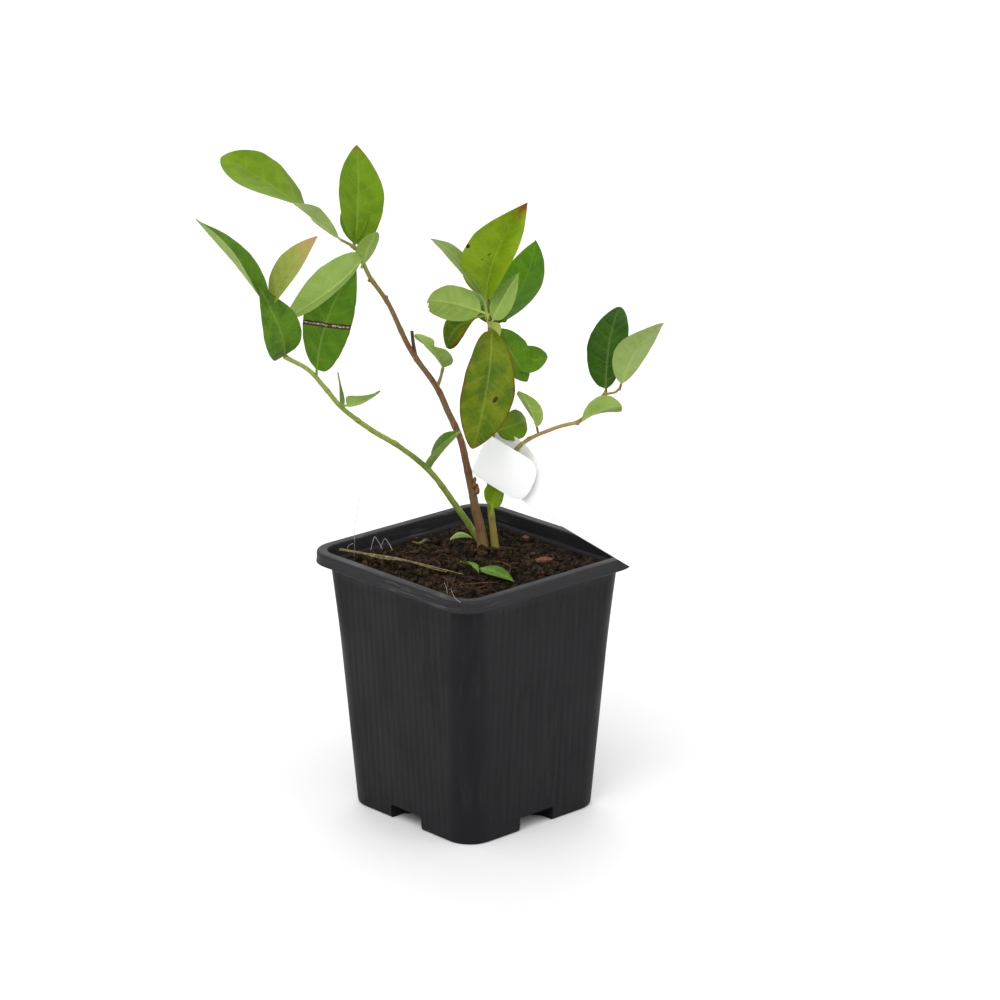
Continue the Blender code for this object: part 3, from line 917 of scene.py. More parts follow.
    def vein_phase(self, s: Array, sides: Array) -> Array:
        """Counts the side veins along the midrib, a little later on the right half."""
        return s * (self.vein_pairs + 1) + np.where(sides > 0, 0.35, 0.0)

    def inside(self, s: Array) -> Array:
        """A share that fades to nothing at the blade's foot and tip."""
        return np.clip(np.minimum(s / 0.08, (1 - s) / 0.14), 0, 1)

    def vein_lines(self, s: Array, u: Array) -> Array:
        """How near each point is to a side vein, from 0 to 1."""
        sides = np.where(u < 0, -1.0, 1.0)
        phase = self.vein_phase(s, sides)
        near = np.abs(phase - np.round(phase))
        return np.exp(-(near / 0.075) ** 2) * (1 - np.abs(u) ** 3) * self.inside(s)

    def values(self, blade: Blade, s: Array, u: Array, x: Array, t: Array) -> dict[str, Array]:
        """The values that the finishes read.

        Args:
            blade: The leaf.
            s: Row places.
            u: Places across.
            x: Distance from the midrib.
            t: Places along the midrib.

        Returns:
            vein, blush and scar at every point, each from 0 to 1.
        """
        midrib = np.exp(-(x / 0.42) ** 2) * (1 - 0.6 * s)
        vein = np.clip(0.6 * midrib + 0.15 * self.vein_lines(s, u), 0, 1)
        tau = (t * blade.length - blade.stalk) / (blade.length - blade.stalk)
        edge = np.abs(u) ** 14
        red = {Blush.NONE: 0 * (s + u),
               Blush.TIP: 1.05 * np.clip((s - 0.5) / 0.5, 0, 1) ** 2 + 0.7 * edge * np.clip(2 * s - 0.7, 0, 1),
               Blush.EDGES: 0.95 * np.abs(u) ** 9 + 0.5 * np.clip((s - 0.8) / 0.2, 0, 1),
               Blush.RIGHT: 0.95 * np.clip(u, 0, 1) ** 5 + 0 * s,
               Blush.LEFT: 1.1 * np.clip(-u, 0, 1) ** 3 + 0 * s,
               Blush.SPENT: 1.2 * np.clip((s - 0.2) / 0.8, 0, 1) * (0.6 + 0.4 * np.abs(u))}
        scar = 0 * (s + u)
        for spot in blade.scars:
            along = tau - spot.along - spot.slant * u
            reach = (along / spot.length) ** 2 + ((u - spot.out) / spot.width) ** 2
            scar = np.maximum(scar, spot.depth * np.exp(-reach))
        return {"vein": vein * np.ones_like(scar), "blush": red[blade.blush] * blade.blush_share,
                "scar": scar}


@dataclass(frozen=True)
class Limb:
    """A stem, shoot or twig of young wood.

    Attributes:
        name: Name of the piece.
        route: Points of its middle line, in the plant frame.
        foot_radius: Radius at its foot.
        tip_radius: Radius at its tip.
        nodes: Where leaves sprang, as shares of its length.
        flare: What the foot is thicker.
        sunk: How far it goes on below its first point.
        sides: How many sides its mesh has.
    """
    name: str
    route: tuple[Point, ...]
    foot_radius: float
    tip_radius: float
    nodes: tuple[float, ...] = ()
    flare: float = 0.0
    sunk: float = 0.0
    sides: int = 20

    def path(self) -> Array:
        """The middle line, smooth through the route."""
        points = [np.array(point) for point in self.route]
        if self.sunk:
            points.insert(0, points[0] + unit(points[0] - points[1]) * self.sunk)
        path = smooth_path(points, 0.6)
        return path

    def radii(self, path: Array, seed: int) -> tuple[Array, Array]:
        """The radius all over the limb.

        Args:
            path: Its middle line.
            seed: Picks its unevenness.

        Returns:
            The radius at each point and side, and how much of a node's ring each has.
        """
        steps = np.linalg.norm(np.diff(path, axis=0), axis=1)
        along = np.concatenate([[0], np.cumsum(steps)])
        share = along / along[-1]
        radius = self.foot_radius + (self.tip_radius - self.foot_radius) * share ** 0.8
        radius = radius + self.flare * np.exp(-share * 14)
        ring = np.zeros_like(share)
        for node in self.nodes:
            radius = radius + 0.13 * bump(along, node * along[-1], 1.1)
            ring = np.maximum(ring, bump(along, node * along[-1] - 0.4, 0.45))
        turn = np.linspace(0, 2 * math.pi, self.sides, endpoint=False)[None]
        ridges = Ripple(seed, 5).at(np.cos(turn) * 0.9 + along[:, None] * 0.06, np.sin(turn) * 0.9)
        knots = Ripple(seed + 3, 6).at(np.cos(turn) * 0.7 + along[:, None] * 0.3, np.sin(turn) * 0.7)
        radii = radius[:, None] * (1 + 0.06 * ridges + 0.035 * knots)
        return radii, np.broadcast_to(ring[:, None], radii.shape)

    def add(self, mesh: MeshBuilder, seed: int, slot: int = 0) -> None:
        """Add the limb to a mesh whose points carry ring.

        Args:
            mesh: The mesh.
            seed: Picks its unevenness.
            slot: Material number.
        """
        path = self.path()
        radii, ring = self.radii(path, seed)
        mesh.loft(plant_to_part(tube_rings(path, radii, self.sides)), slot, ring=ring)

    def at(self, share: float) -> tuple[Array, Array]:
        """A point of the middle line and the direction there.

        Args:
            share: Place along the limb, from 0 to 1.

        Returns:
            The point and the unit direction towards the tip.
        """
        path = self.path()
        spot = min(len(path) - 2, max(1, round(share * (len(path) - 1))))
        return path[spot], unit(path[spot + 1] - path[spot - 1])


# Places that leaves spring from, in the plant frame
TOP_TIP = (-48.9, 23, 213.1)
TOP_NODE = (-44, 23, 210.3)
FRONT_NODE = (-40.6, 22, 204.3)
LEFT_NODE = (-56.8, -14.6, 172.6)
LEFT_END = (-68, -21, 180.7)
LEFT_TIP = (-72.8, -24, 199.6)
CROWN_NODE = (6.1, 9.5, 183.4)
CROWN_TIP = (4.4, 10, 193.2)
RIGHT_TIP = (49.5, 27, 153.6)
RIGHT_END = (54.7, 26, 155.5)

MAIN_STEM = Limb(
    "main_stem",
    ((3.4, 17, 96.3), (2.4, 17, 103), (0.6, 17, 111), (-2.3, 17.5, 126), (-4.9, 18, 137.5),
     (-9.6, 18.5, 148.5), (-14.2, 19, 158.5), (-23.5, 20, 172), (-31.4, 21, 189), (-38, 22, 198.7),
     (-41, 22.3, 205)),
    1.65, 0.8, (0.14, 0.27, 0.42, 0.535, 0.66, 0.76, 0.86, 0.93), flare=1.0, sunk=3.5)
LEFT_SHOOT = Limb(
    "left_shoot",
    ((2.2, 22.6, 96.3), (-1.9, 20.5, 103.5), (-7.1, 17, 112.5), (-15.9, 11, 127), (-27.2, 4, 139),
     (-37.7, -2, 147.5), (-47.6, -9, 157.6), (-53.9, -12, 166.3), (-59.5, -15.5, 174),
     (-66.5, -20.2, 179.6), LEFT_END),
    1.25, 0.8, (0.27, 0.5, 0.66, 0.81, 0.99), flare=0.3, sunk=3.5)
MIDDLE_STEM = Limb(
    "middle_stem",
    ((7.9, 16.6, 96.3), (7.2, 16, 103), (6.4, 15.3, 111), (6, 13, 123.5), (6.5, 11, 135.7),
     (7.2, 9.8, 150), (6.8, 9.5, 165), (6.2, 9.5, 181.5), CROWN_NODE),
    1.3, 0.9, (0.17, 0.3, 0.48, 0.66, 0.84, 0.97), flare=0.5, sunk=3.5)
RIGHT_SHOOT = Limb(
    "right_shoot",
    ((6.6, 13.4, 113), (8.6, 12.9, 120), (10.5, 12.4, 125.2), (15.2, 11.8, 134.8), (19.1, 12.2, 138.5),
     (23, 15, 140), (31.9, 21, 141.8), (38.3, 24.2, 142.4), (39.6, 24.7, 142.9)),
    0.85, 0.7, (0.3, 0.58, 0.98))
TWIGS = (
    Limb("top_twig", ((-40.6, 22.2, 204.3), (-42, 22.6, 207.5), TOP_NODE, TOP_TIP), 0.8, 0.5, (0.55,), sides=12),
    Limb("left_twig", (LEFT_END, (-70.6, -22.3, 190), LEFT_TIP), 0.7, 0.5, (0.95,), sides=12),
    Limb("side_twig", ((-13.6, 19, 157.8), (-12.4, 18.6, 161.2), (-11.4, 18.2, 165.4)), 0.75, 0.5, (0.9,),
         sides=12),
    Limb("crown_twig", (CROWN_NODE, (5.1, 9.8, 188), CROWN_TIP), 0.72, 0.45, (0.25,), sides=12),
    Limb("right_twig", ((38.3, 24.2, 142.4), (40.4, 25, 143.4), (44.3, 26, 147.6), RIGHT_TIP), 0.7, 0.5,
         (0.1, 0.95), sides=12),
    Limb("right_end_twig", ((48.6, 26.8, 152.6), (50.8, 26.4, 153.2), (53, 26, 153.8), RIGHT_END), 0.5, 0.45,
         sides=12),
)
DEAD_STUB = Limb("dead_stub", ((-21.6, 20.4, 169.6), (-22.4, 20.4, 174), (-22.9, 20.4, 179)), 0.75, 0.6,
                 sides=12)
DEAD_STALK = Limb("dead_stalk", ((6.2, 10, 189), (5.9, 9.8, 192.5), (5.2, 9.6, 195.2)), 0.35, 0.2, sides=8)


@dataclass(frozen=True)
class Mass:
    """The leaves that one foliage node stands for.

    Attributes:
        node: The CAD node.
        blades: Its leaves.
    """
    node: str
    blades: tuple[Blade, ...]


MASSES = (
    Mass("foliage_top_upright", (
        Blade(TOP_NODE, 88, 60, 39.5, 21, roll=38, twist=-31, arch=0.5, sweep=0.6, fold=12, widest=0.42,
              foot_power=0.5, stalk=1.2, tint=LeafTint.FRESH, blush=Blush.TIP, blush_share=0.6),
        Blade((-41.2, 22, 203.4), -35, 64, 15.5, 9.5, roll=-19, twist=-10, arch=0.5, fold=15,
              foot_power=0.5, tip_power=0.6, stalk=0.8, tint=LeafTint.FRESH),
        Blade(TOP_NODE, 88, 30, 24, 11, roll=-8, arch=3, tint=LeafTint.FRESH))),
    Mass("foliage_top_long", (
        Blade(TOP_TIP, 172, 34, 53.5, 27.5, arch=2, sweep=-1.2, fold=11, widest=0.6, foot_power=0.5,
              tip_power=0.62, stalk=1.5, turns=((0, 42), (0.24, 36), (0.42, 4), (0.7, -14), (1, -34)),
              tint=LeafTint.BRIGHT, wave=0.7),)),
    Mass("foliage_top_front", (
        Blade((-41.2, 22, 206.5), -128, -18, 47, 20, roll=88, twist=8, arch=-4, sweep=-0.8, fold=6,
              right_fold=14, widest=0.5, foot_power=0.5, stalk=0.8,
              notches=(Notch(0.5, 1, 0.68, 0.7),)),)),
    Mass("foliage_left_tip", (
        Blade(LEFT_END, -138, 68, 30, 16, roll=-96, arch=6, sweep=-1, widest=0.4, foot_power=0.36,
              stalk=0.8, tint=LeafTint.DUSKY),
        Blade(LEFT_TIP, -5, 57, 32, 16, roll=33, arch=4.5, sweep=3.5, fold=12, tint=LeafTint.ROSY,
              blush=Blush.SPENT, blush_share=0.8))),
    Mass("foliage_left_long", (
        Blade(LEFT_TIP, -166, 53, 43, 19.5, roll=-25, twist=36, sweep=2.5, arch=-0.5, fold=11,
              left_fold=22, tint=LeafTint.GRASS),)),
    Mass("foliage_left_upright", (
        Blade(LEFT_NODE, 68.9, 39.6, 49.2, 20, roll=50, arch=-2.9, sweep=-2.4, fold=7, widest=0.45,
              foot_power=0.5, scars=(Scar(0.41, 0.0, 0.02, 3.0, slant=0.1, depth=1.5),)),)),
    Mass("foliage_left_small", (
        Blade((-47.2, -9, 158.8), -37, 27, 19, 10.5, roll=-17, twist=66, arch=-1.5, fold=26,
              widest=0.39, foot_power=0.85),)),
    Mass("foliage_left_narrow", (
        Blade((-47.6, -9, 158), 104, 51, 14, 5, roll=-82, twist=-52, arch=-2.5, sweep=-6, fold=5),)),
    Mass("foliage_low_left", (
        Blade((-16.4, 9.6, 129), -47, 47, 25, 13, roll=35, arch=1, sweep=2.5, fold=33),)),
    Mass("foliage_main_side", (
        Blade((-11.4, 18, 165.4), -127, 46, 23, 11.5, twist=32, arch=-1.5, sweep=-4.5, fold=20,
              tip_power=0.55, tint=LeafTint.FRESH,
              notches=(Notch(0.72, 1, 0.4, 0.07), Notch(0.72, -1, 0.5, 0.07))),)),
    Mass("foliage_crown_tall", (
        Blade(CROWN_TIP, 15, 66, 39.5, 24, roll=51, twist=37, arch=5, sweep=-1.6, fold=40, widest=0.38,
              foot_power=0.45, stalk=1.2, tint=LeafTint.OLIVE, blush=Blush.TIP,
              scars=(Scar(0.41, -0.95, 0.03, 0.1), Scar(0.45, -0.36, 0.012, 0.05, slant=0.3),
                     Scar(0.48, -0.22, 0.01, 0.05, slant=0.3))),
        Blade(CROWN_TIP, 143, 38, 32, 7.5, roll=-12, arch=8, sweep=-4, fold=13, tint=LeafTint.PALE))),
    Mass("foliage_crown_left", (
        Blade((5.0, 9.8, 188.4), -153, 18, 25.5, 13.5, roll=83, arch=4, fold=10, widest=0.42,
              foot_power=0.5, tip_power=0.44, stalk=2.2, tint=LeafTint.FRESH,
              notches=(Notch(0.95, 1, 0.7, 0.03), Notch(0.88, 1, 0.25, 0.02))),
        Blade((5.0, 9.8, 187.6), 168, -40, 20, 10, roll=-65, twist=-20, arch=2, sweep=3, fold=11,
              widest=0.58, foot_power=0.7, tip_power=0.6, stalk=3.5, tint=LeafTint.BRONZE,
              blush=Blush.LEFT))),
    Mass("foliage_crown_right", (
        Blade(CROWN_NODE, 52, 45, 39, 22, roll=-9, arch=-5, fold=11, widest=0.52, foot_power=0.55,
              tint=LeafTint.LIVELY),
        Blade((6.8, 9.2, 185), -18, 62, 22.5, 9, roll=-106, twist=-7, arch=-1.8, fold=10, widest=0.4,
              tint=LeafTint.GRASS, foot_power=0.6),
        Blade((5.7, 9.4, 185.6), -50, -32, 7.5, 4.2, roll=10, arch=1, fold=20, stalk=0.8,
              tint=LeafTint.ROSY),
        Blade((5.4, 9.6, 187), 40, -10, 9.5, 6, roll=50, arch=1, fold=16, stalk=0.8,
              tint=LeafTint.DEEP))),
    Mass("foliage_crown_back", (
        Blade(CROWN_NODE, 100, 8, 34, 16, roll=-5, arch=5),)),
    Mass("foliage_front", (
        Blade((6.7, 9.2, 182.8), -111, -64.4, 45, 20.8, roll=-34, twist=3, arch=3.6, sweep=-0.8,
              fold=18, widest=0.54, foot_power=0.4, tip_power=0.72, stalk=0.8, tint=LeafTint.BRONZE, blush=Blush.EDGES,
              scars=(Scar(0.635, -0.38, 0.03, 0.09, slant=0.15),)),
        Blade(CROWN_NODE, 14, -57, 26, 15, roll=58, arch=2, fold=12, widest=0.5, foot_power=0.5))),
    Mass("foliage_front_side", (
        Blade((7, 9.5, 178), 24, -21.5, 24, 11, roll=59, arch=-1.5, sweep=3, widest=0.62,
              tip_power=0.6, stalk=3),)),
    Mass("foliage_inner_right", (
        Blade((24, 17.5, 140.6), -129, 58, 22, 11, roll=-7, twist=31, arch=1.5, fold=11, stalk=3,
              stalk_red=0.9, tint=LeafTint.PALE),)),
    Mass("foliage_inner_low", (
        Blade((7, 10.5, 143), 48, 2, 18.5, 11.5, roll=77, twist=-34, foot_power=0.5, tip_power=0.6,
              tint=LeafTint.FRESH),)),
    Mass("foliage_right_back", (
        Blade(RIGHT_TIP, 74, 55, 34, 17.5, roll=-18, twist=14, arch=3, foot_power=0.5, tip_power=0.6,
              stalk=1.2, stalk_red=0.9, tint=LeafTint.DEEP),)),
    Mass("foliage_right_front", (
        Blade(RIGHT_END, -43, 54, 35.5, 16.5, roll=-16, twist=16, arch=4, stalk_red=0.9,
              tint=LeafTint.DEEP, scars=(Scar(0.66, 0.35, 0.014, 0.05),)),)),
    Mass("foliage_right_low", (
        Blade((39.2, 24.5, 142.2), -36, 26, 22, 11, roll=-63, twist=-68, arch=3, fold=43,
              tint=LeafTint.FRESH),)),
    Mass("foliage_base", (
        Blade((6.7, 11.6, 111.2), -40, 72, 14, 8.4, roll=105, arch=-0.8, sweep=-1, fold=14,
              foot_power=0.5, tint=LeafTint.OLIVE),)),
)


@dataclass(frozen=True)
class Plant:
    """The bush: stems, twigs, buds, dead bits and leaves."""
    shape: LeafShape = LeafShape()
    old_bark: BarkFinish = BarkFinish("old_bark", screen_colour(104, 86, 46), screen_colour(120, 98, 68),
                                      screen_colour(106, 62, 44), 0.55, screen_colour(118, 126, 50),
                                      191 * MM)
    olive_bark: BarkFinish = BarkFinish("olive_bark", screen_colour(126, 126, 54),
                                        screen_colour(134, 118, 60), screen_colour(122, 104, 50))
    green_bark: BarkFinish = BarkFinish("green_bark", screen_colour(126, 142, 58),
                                        screen_colour(142, 156, 74), screen_colour(116, 136, 48))
    young_bark: BarkFinish = BarkFinish("young_bark", screen_colour(136, 142, 66),
                                        screen_colour(150, 130, 74), screen_colour(140, 108, 66))
    dead_bark: BarkFinish = BarkFinish("dead_bark", screen_colour(78, 60, 46), screen_colour(104, 86, 66),
                                       screen_colour(66, 46, 38), 0.8)
    twig_bark: BarkFinish = BarkFinish("twig_bark", screen_colour(136, 134, 64),
                                       screen_colour(142, 116, 62), screen_colour(126, 78, 46))
    crown_bark: BarkFinish = BarkFinish("crown_bark", screen_colour(150, 156, 72),
                                        screen_colour(164, 164, 96), screen_colour(142, 138, 62))
    bud_scale: BarkFinish = BarkFinish("bud_scale", screen_colour(122, 80, 48),
                                       screen_colour(146, 110, 66), screen_colour(104, 58, 42))

    def build(self) -> None:
        """Make every piece of the plant."""
        limbs = ((MAIN_STEM, "stem_main", "bark", self.old_bark),
                 (LEFT_SHOOT, "stem_left", "green_shoot", self.green_bark),
                 (MIDDLE_STEM, "stem_middle", "green_shoot", self.olive_bark),
                 (RIGHT_SHOOT, "stem_right", "green_shoot", self.young_bark))
        for number, (limb, node, slot, finish) in enumerate(limbs):
            mesh = MeshBuilder("ring")
            limb.add(mesh, 40 + number)
            mesh.build(limb.name, [finish.dress()], slot, [node])
        self.build_twigs()
        self.build_buds()
        self.build_leaves()

    def build_twigs(self) -> None:
        """Make the twigs and, in a piece of their own, the dead stub and stalk."""
        mesh = MeshBuilder("ring")
        for number, twig in enumerate(TWIGS):
            twig.add(mesh, 60 + number, int(twig.name == "crown_twig"))
        mesh.build("twigs", [self.twig_bark.dress(), self.crown_bark.dress()], "green_shoot")
        dead = MeshBuilder("ring")
        DEAD_STUB.add(dead, 80)
        DEAD_STALK.add(dead, 81)
        dead.build("dead_twigs", [self.dead_bark.dress()], "bark")

    def build_buds(self) -> None:
        """Make a small scaly bud at each node, turned a little further round at each."""
        mesh = MeshBuilder("ring")
        rng = np.random.default_rng(7)
        for limb in (MAIN_STEM, LEFT_SHOOT, MIDDLE_STEM, RIGHT_SHOOT, *TWIGS):
            turn = rng.uniform(0, 2 * math.pi)
            for share in limb.nodes:
                spot, way = limb.at(share)
                turn += math.radians(137)
                self.add_bud(mesh, spot, way, turn, rng.uniform(1.1, 1.9), limb)
        for share, turn, length in ((0.2, 1.9, 4.2), (0.21, 1.2, 3.4), (0.222, 2.4, 3.6), (0.235, 1.6, 2.8)):
            spot, way = MAIN_STEM.at(share)
            self.add_bud(mesh, spot + np.array((0.7, -0.3, 0)), way, turn, length, MAIN_STEM)
        mesh.build("buds", [self.bud_scale.dress()], "bark")

    def add_bud(self, mesh: MeshBuilder, spot: Array, way: Array, turn: float, length: float,
                limb: Limb) -> None:
        """Add one pointed bud on a limb's side.

        Args:
            mesh: The mesh that takes it.
            spot: Point of the limb's middle line.
            way: Direction of the limb.
            turn: Which side of the limb it is on, in radians.
            length: Its length.
            limb: The limb, for its radius.
        """
        side, up = across(way)
        outward = side * math.cos(turn) + up * math.sin(turn)
        radius = (limb.foot_radius + limb.tip_radius) / 2
        t = np.linspace(0, 1, 9)
        path = (spot + outward * (radius * 0.5) + np.outer(t * length, way * 0.75 + outward * 0.65)
                - np.outer(0.35 * t ** 2 * length, outward))
        radii = 0.16 + length * 0.27 * np.sin(math.pi * t ** 0.7) * (1 - 0.25 * np.sin(9 * math.pi * t) ** 2)
        radii[-1] = 0.05
        mesh.loft(plant_to_part(tube_rings(path, radii, 10)), 0, ring=np.full((9, 10), 0.4))

    def build_leaves(self) -> None:
        """Make one piece of thin leaves for each foliage node."""
        seed = 100
        for mass in MASSES:
            mesh = MeshBuilder("vein", "blush", "scar")
            finishes: list[bpy.types.Material] = []
            for blade in mass.blades:
                seed += 1
                part = MeshBuilder("vein", "blush", "scar")
                self.shape.add(part, blade, seed)
                sides = [side.dress() for side in blade.tint.value]
                for side in sides:
                    if side not in finishes:
                        finishes.append(side)
                self.merge(mesh, part, [finishes.index(side) for side in sides])
            name = mass.node.replace("foliage", "leaves")
            mesh.build(name, finishes, "leaf", [mass.node], sharp=65)

    def merge(self, mesh: MeshBuilder, part: MeshBuilder, numbers: list[int]) -> None:
        """Add one leaf's mesh to another, with its own material numbers.

        Args:
            mesh: The mesh that takes it.
            part: The mesh that is added.
            numbers: The material numbers that stand for the part's own.
        """
        mesh.faces += [tuple(corner + mesh.count for corner in face) for face in part.faces]
        mesh.slots += [numbers[slot] for slot in part.slots]
        mesh.points += part.points
        mesh.count += part.count
        for name, kept in part.values.items():
            mesh.values[name] += kept


def carve(target: bpy.types.Object, tool: bpy.types.Object, operation: str) -> None:
    """Cut a tool away from an object, or join it on, and drop the tool.

    Args:
        target: The object that is changed.
        tool: A closed body.
        operation: DIFFERENCE or UNION.
    """
    modifier = target.modifiers.new("carve", "BOOLEAN")
    modifier.operation = operation
    modifier.solver = "EXACT"
    modifier.object = tool
    bpy.context.view_layer.update()
    depsgraph = bpy.context.evaluated_depsgraph_get()
    mesh = bpy.data.meshes.new_from_object(target.evaluated_get(depsgraph), depsgraph=depsgraph)
    target.modifiers.clear()
    target.data = mesh
    bpy.data.objects.remove(tool, do_unlink=True)


def body_of(name: str, bm: bmesh.types.BMesh) -> bpy.types.Object:
    """Make a bare object of a bmesh, with its faces pointing out."""
    bmesh.ops.recalc_face_normals(bm, faces=bm.faces)
    mesh = bpy.data.meshes.new(name)
    bm.to_mesh(mesh)
    bm.free()
    made = bpy.data.objects.new(name, mesh)
    bpy.context.scene.collection.objects.link(made)
    return made


@dataclass(frozen=True)
class Pot:
    """A thin square pot with fine upright ribs, a turned-down lip and drain notches.

    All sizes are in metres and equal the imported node's.
    """
    height: float = 100 * MM
    base_side: float = 68.6 * MM
    base_rounding: float = 10.6 * MM
    top_rounding: float = 8.8 * MM
    straight_height: float = 62 * MM
    rim_side: float = 90 * MM
    rim_rounding: float = 11.8 * MM
    mouth_rounding: float = 7.6 * MM
    lip_wall: float = 0.5 * MM
    wall: float = 1.0 * MM
    floor: float = 1.2 * MM
    lip_width: float = 3.8 * MM
    lip_drop: float = 4.5 * MM
    step_drop: float = 6.4 * MM
    step_width: float = 1.0 * MM
    wall_top_side: float = 80.4 * MM
    notch_width: float = 17 * MM
    notch_depth: float = 16 * MM
    notch_height: float = 5.5 * MM
    notch_straight: float = 6 * MM
    notch_edge: float = 0.8 * MM
    drain_radius: float = 3.5 * MM
    drain_inset: float = 9.6 * MM
    rib_pitch: float = 3.25 * MM
    rib_relief: float = 0.06 * MM
    side_points: int = 140
    corner_points: int = 12
    finish: MouldedBlack = MouldedBlack()

    def wall_side(self, z: float) -> float:
        """Side of the tapering wall at a height."""
        return self.base_side + (self.wall_top_side - self.base_side) * z / (self.height - self.step_drop)

    def wall_rounding(self, z: float) -> float:
        """Corner radius of the wall at a height."""
        share = max(0.0, (z - self.straight_height) / (self.height - self.step_drop - self.straight_height))
        return self.base_rounding + (self.top_rounding - self.base_rounding) * min(1.0, share) ** 1.5

    def outline(self, side: float, rounding: float, ribs: float = 0.0) -> Array:
        """A square with round corners, its sides grooved between upright ribs.

        Args:
            side: Length of the square's side.
            rounding: Radius of its corners.
            ribs: Depth of the grooves between the ribs.

        Returns:
            Points of shape (n, 2).
        """
        flat = side / 2 - rounding
        w = np.linspace(-flat, flat, self.side_points)
        groove = np.clip(np.cos(2 * math.pi * w / self.rib_pitch), 0, 1) ** 2
        fade = np.clip((flat - np.abs(w)) / (1.5 * MM), 0, 1)
        straight = np.stack([side / 2 - ribs * groove * fade, w], 1)
        angles = np.linspace(0, math.pi / 2, self.corner_points + 2)[1:-1]
        corner = np.stack([flat + rounding * np.cos(angles), flat + rounding * np.sin(angles)], 1)
        quarter = np.vstack([straight, corner])
        points = []
        for turn in range(4):
            cos, sin = math.cos(turn * math.pi / 2), math.sin(turn * math.pi / 2)
            points.append(quarter @ np.array(((cos, sin), (-sin, cos))))
        return np.vstack(points)

    def ring(self, side: float, rounding: float, z: float, ribs: float = 0.0) -> Array:
        """One ring of the pot's body at a height."""
        flat = self.outline(side, rounding, ribs)
        return np.column_stack([flat, np.full(len(flat), z)])

    def inner_ring(self, z: float, inset: float) -> Array:
        """A ring at a distance inside the outer wall."""
        return self.ring(self.wall_side(z) - 2 * inset, self.wall_rounding(z) - inset, z)

    def wall_rings(self) -> list[Array]:
        """The outside, from the eased foot up the ribbed wall."""
        ease = 1.0 * MM
        rings = []
        for turn in np.linspace(0, math.pi / 2, 5):
            inset = ease * (1 - math.sin(turn))
            rings.append(self.ring(self.base_side - 2 * inset, self.base_rounding - inset,
                                   ease * (1 - math.cos(turn))))
        top = self.height - self.step_drop
        for z in np.linspace(2 * MM, top - 0.6 * MM, 30):
            fade = min(1.0, (z - 2 * MM) / (3 * MM), (top - z) / (4 * MM))
            rings.append(self.ring(self.wall_side(z), self.wall_rounding(z), z, self.rib_relief * fade))
        return rings

    def lip_rings(self) -> list[Array]:
        """The step, the turned-down lip with its crowned top, and the inside of the mouth."""
        top = self.height - self.step_drop
        skirt = self.height - self.lip_drop
        under = self.height - 1.2 * MM
        step_side = self.wall_top_side + 2 * self.step_width
        lip = self.rim_side / 2
        profile = [(step_side / 2 - 0.6 * MM, top - 0.1 * MM), (step_side / 2 - 0.15 * MM, top + 0.15 * MM),
                   (step_side / 2, top + 0.6 * MM), (step_side / 2, under - 0.3 * MM),
                   (step_side / 2 + 0.3 * MM, under), (lip - self.wall - 0.3 * MM, under),
                   (lip - self.wall, under - 0.3 * MM), (lip - self.wall, skirt + 0.2 * MM),
                   (lip - self.wall + 0.2 * MM, skirt), (lip - 0.2 * MM, skirt), (lip, skirt + 0.2 * MM),
                   (lip - 0.06 * MM, skirt + 0.6 * MM), (lip - 0.22 * MM, skirt + 1.0 * MM),
                   (lip - 0.22 * MM, self.height - 1.0 * MM)]
        for turn in np.linspace(0.1, math.pi / 2, 6):
            profile.append((lip - 0.22 * MM - 1.0 * MM * (1 - math.cos(turn)),
                            self.height - 1.0 * MM * (1 - math.sin(turn))))
        inner = step_side / 2 - self.lip_wall
        for turn in np.linspace(0.2, math.pi / 2, 6):
            profile.append((inner + 0.5 * MM * (1 - math.sin(turn)), self.height - 0.6 * MM * (1 - math.cos(turn))))
        profile += [(inner - 0.1 * MM, self.height - 2.2 * MM), (inner - 0.15 * MM, top + 1.4 * MM),
                    (inner - 0.9 * MM, top + 0.8 * MM)]
        return [self.ring(2 * reach, self.lip_rounding(reach), z) for reach, z in profile]

    def lip_rounding(self, reach: float) -> float:
        """Corner radius of a ring of the lip or step.

        Args:
            reach: Half the ring's side.

        Returns:
            The rim's own radius at the rim, blending to the mouth's radius at the mouth.
        """
        mouth = self.wall_top_side / 2 + self.step_width
        share = min(1.0, (self.rim_side / 2 - reach) / (self.rim_side / 2 - mouth))
        return self.rim_rounding + (self.mouth_rounding - self.rim_rounding) * share

    def notch(self, side: int, margin: float, height: float, reach: float) -> bpy.types.Object:
        """A round-edged body of one drain notch's space.

        Args:
            side: Which side of the pot, from 0 to 3.
            margin: What it is grown by.
            height: Height of its top.
            reach: How far it stands out past the wall's foot.

        Returns:
            A bare object, turned to its side.
        """
        front = self.base_side / 2
        half = self.notch_width / 2 + margin
        plan = ((front + reach, half), (front - self.notch_straight - margin / 2, half),
                (front - self.notch_depth - margin, 1.0 * MM + margin))
        plan += tuple((x, -y) for x, y in reversed(plan))
        bm = bmesh.new()
        floor = [bm.verts.new((x, y, -4 * MM)) for x, y in plan]
        roof = [bm.verts.new((x, y, height)) for x, y in plan]
        bm.faces.new(floor)
        bm.faces.new(roof[::-1])
        for number in range(len(plan)):
            after = (number + 1) % len(plan)
            bm.faces.new((floor[number], floor[after], roof[after], roof[number]))
        edges = [edge for edge in bm.edges if max(v.co.x for v in edge.verts) < front + reach
                 or min(v.co.z for v in edge.verts) > 0]
        bmesh.ops.recalc_face_normals(bm, faces=bm.faces)
        bmesh.ops.bevel(bm, geom=edges, offset=self.notch_edge + margin, segments=3, profile=0.5,
                        affect="EDGES")
        bmesh.ops.rotate(bm, verts=bm.verts, cent=(0, 0, 0),
                         matrix=Matrix.Rotation(side * math.pi / 2, 3, "Z"))
        return body_of(f"notch_{side}", bm)

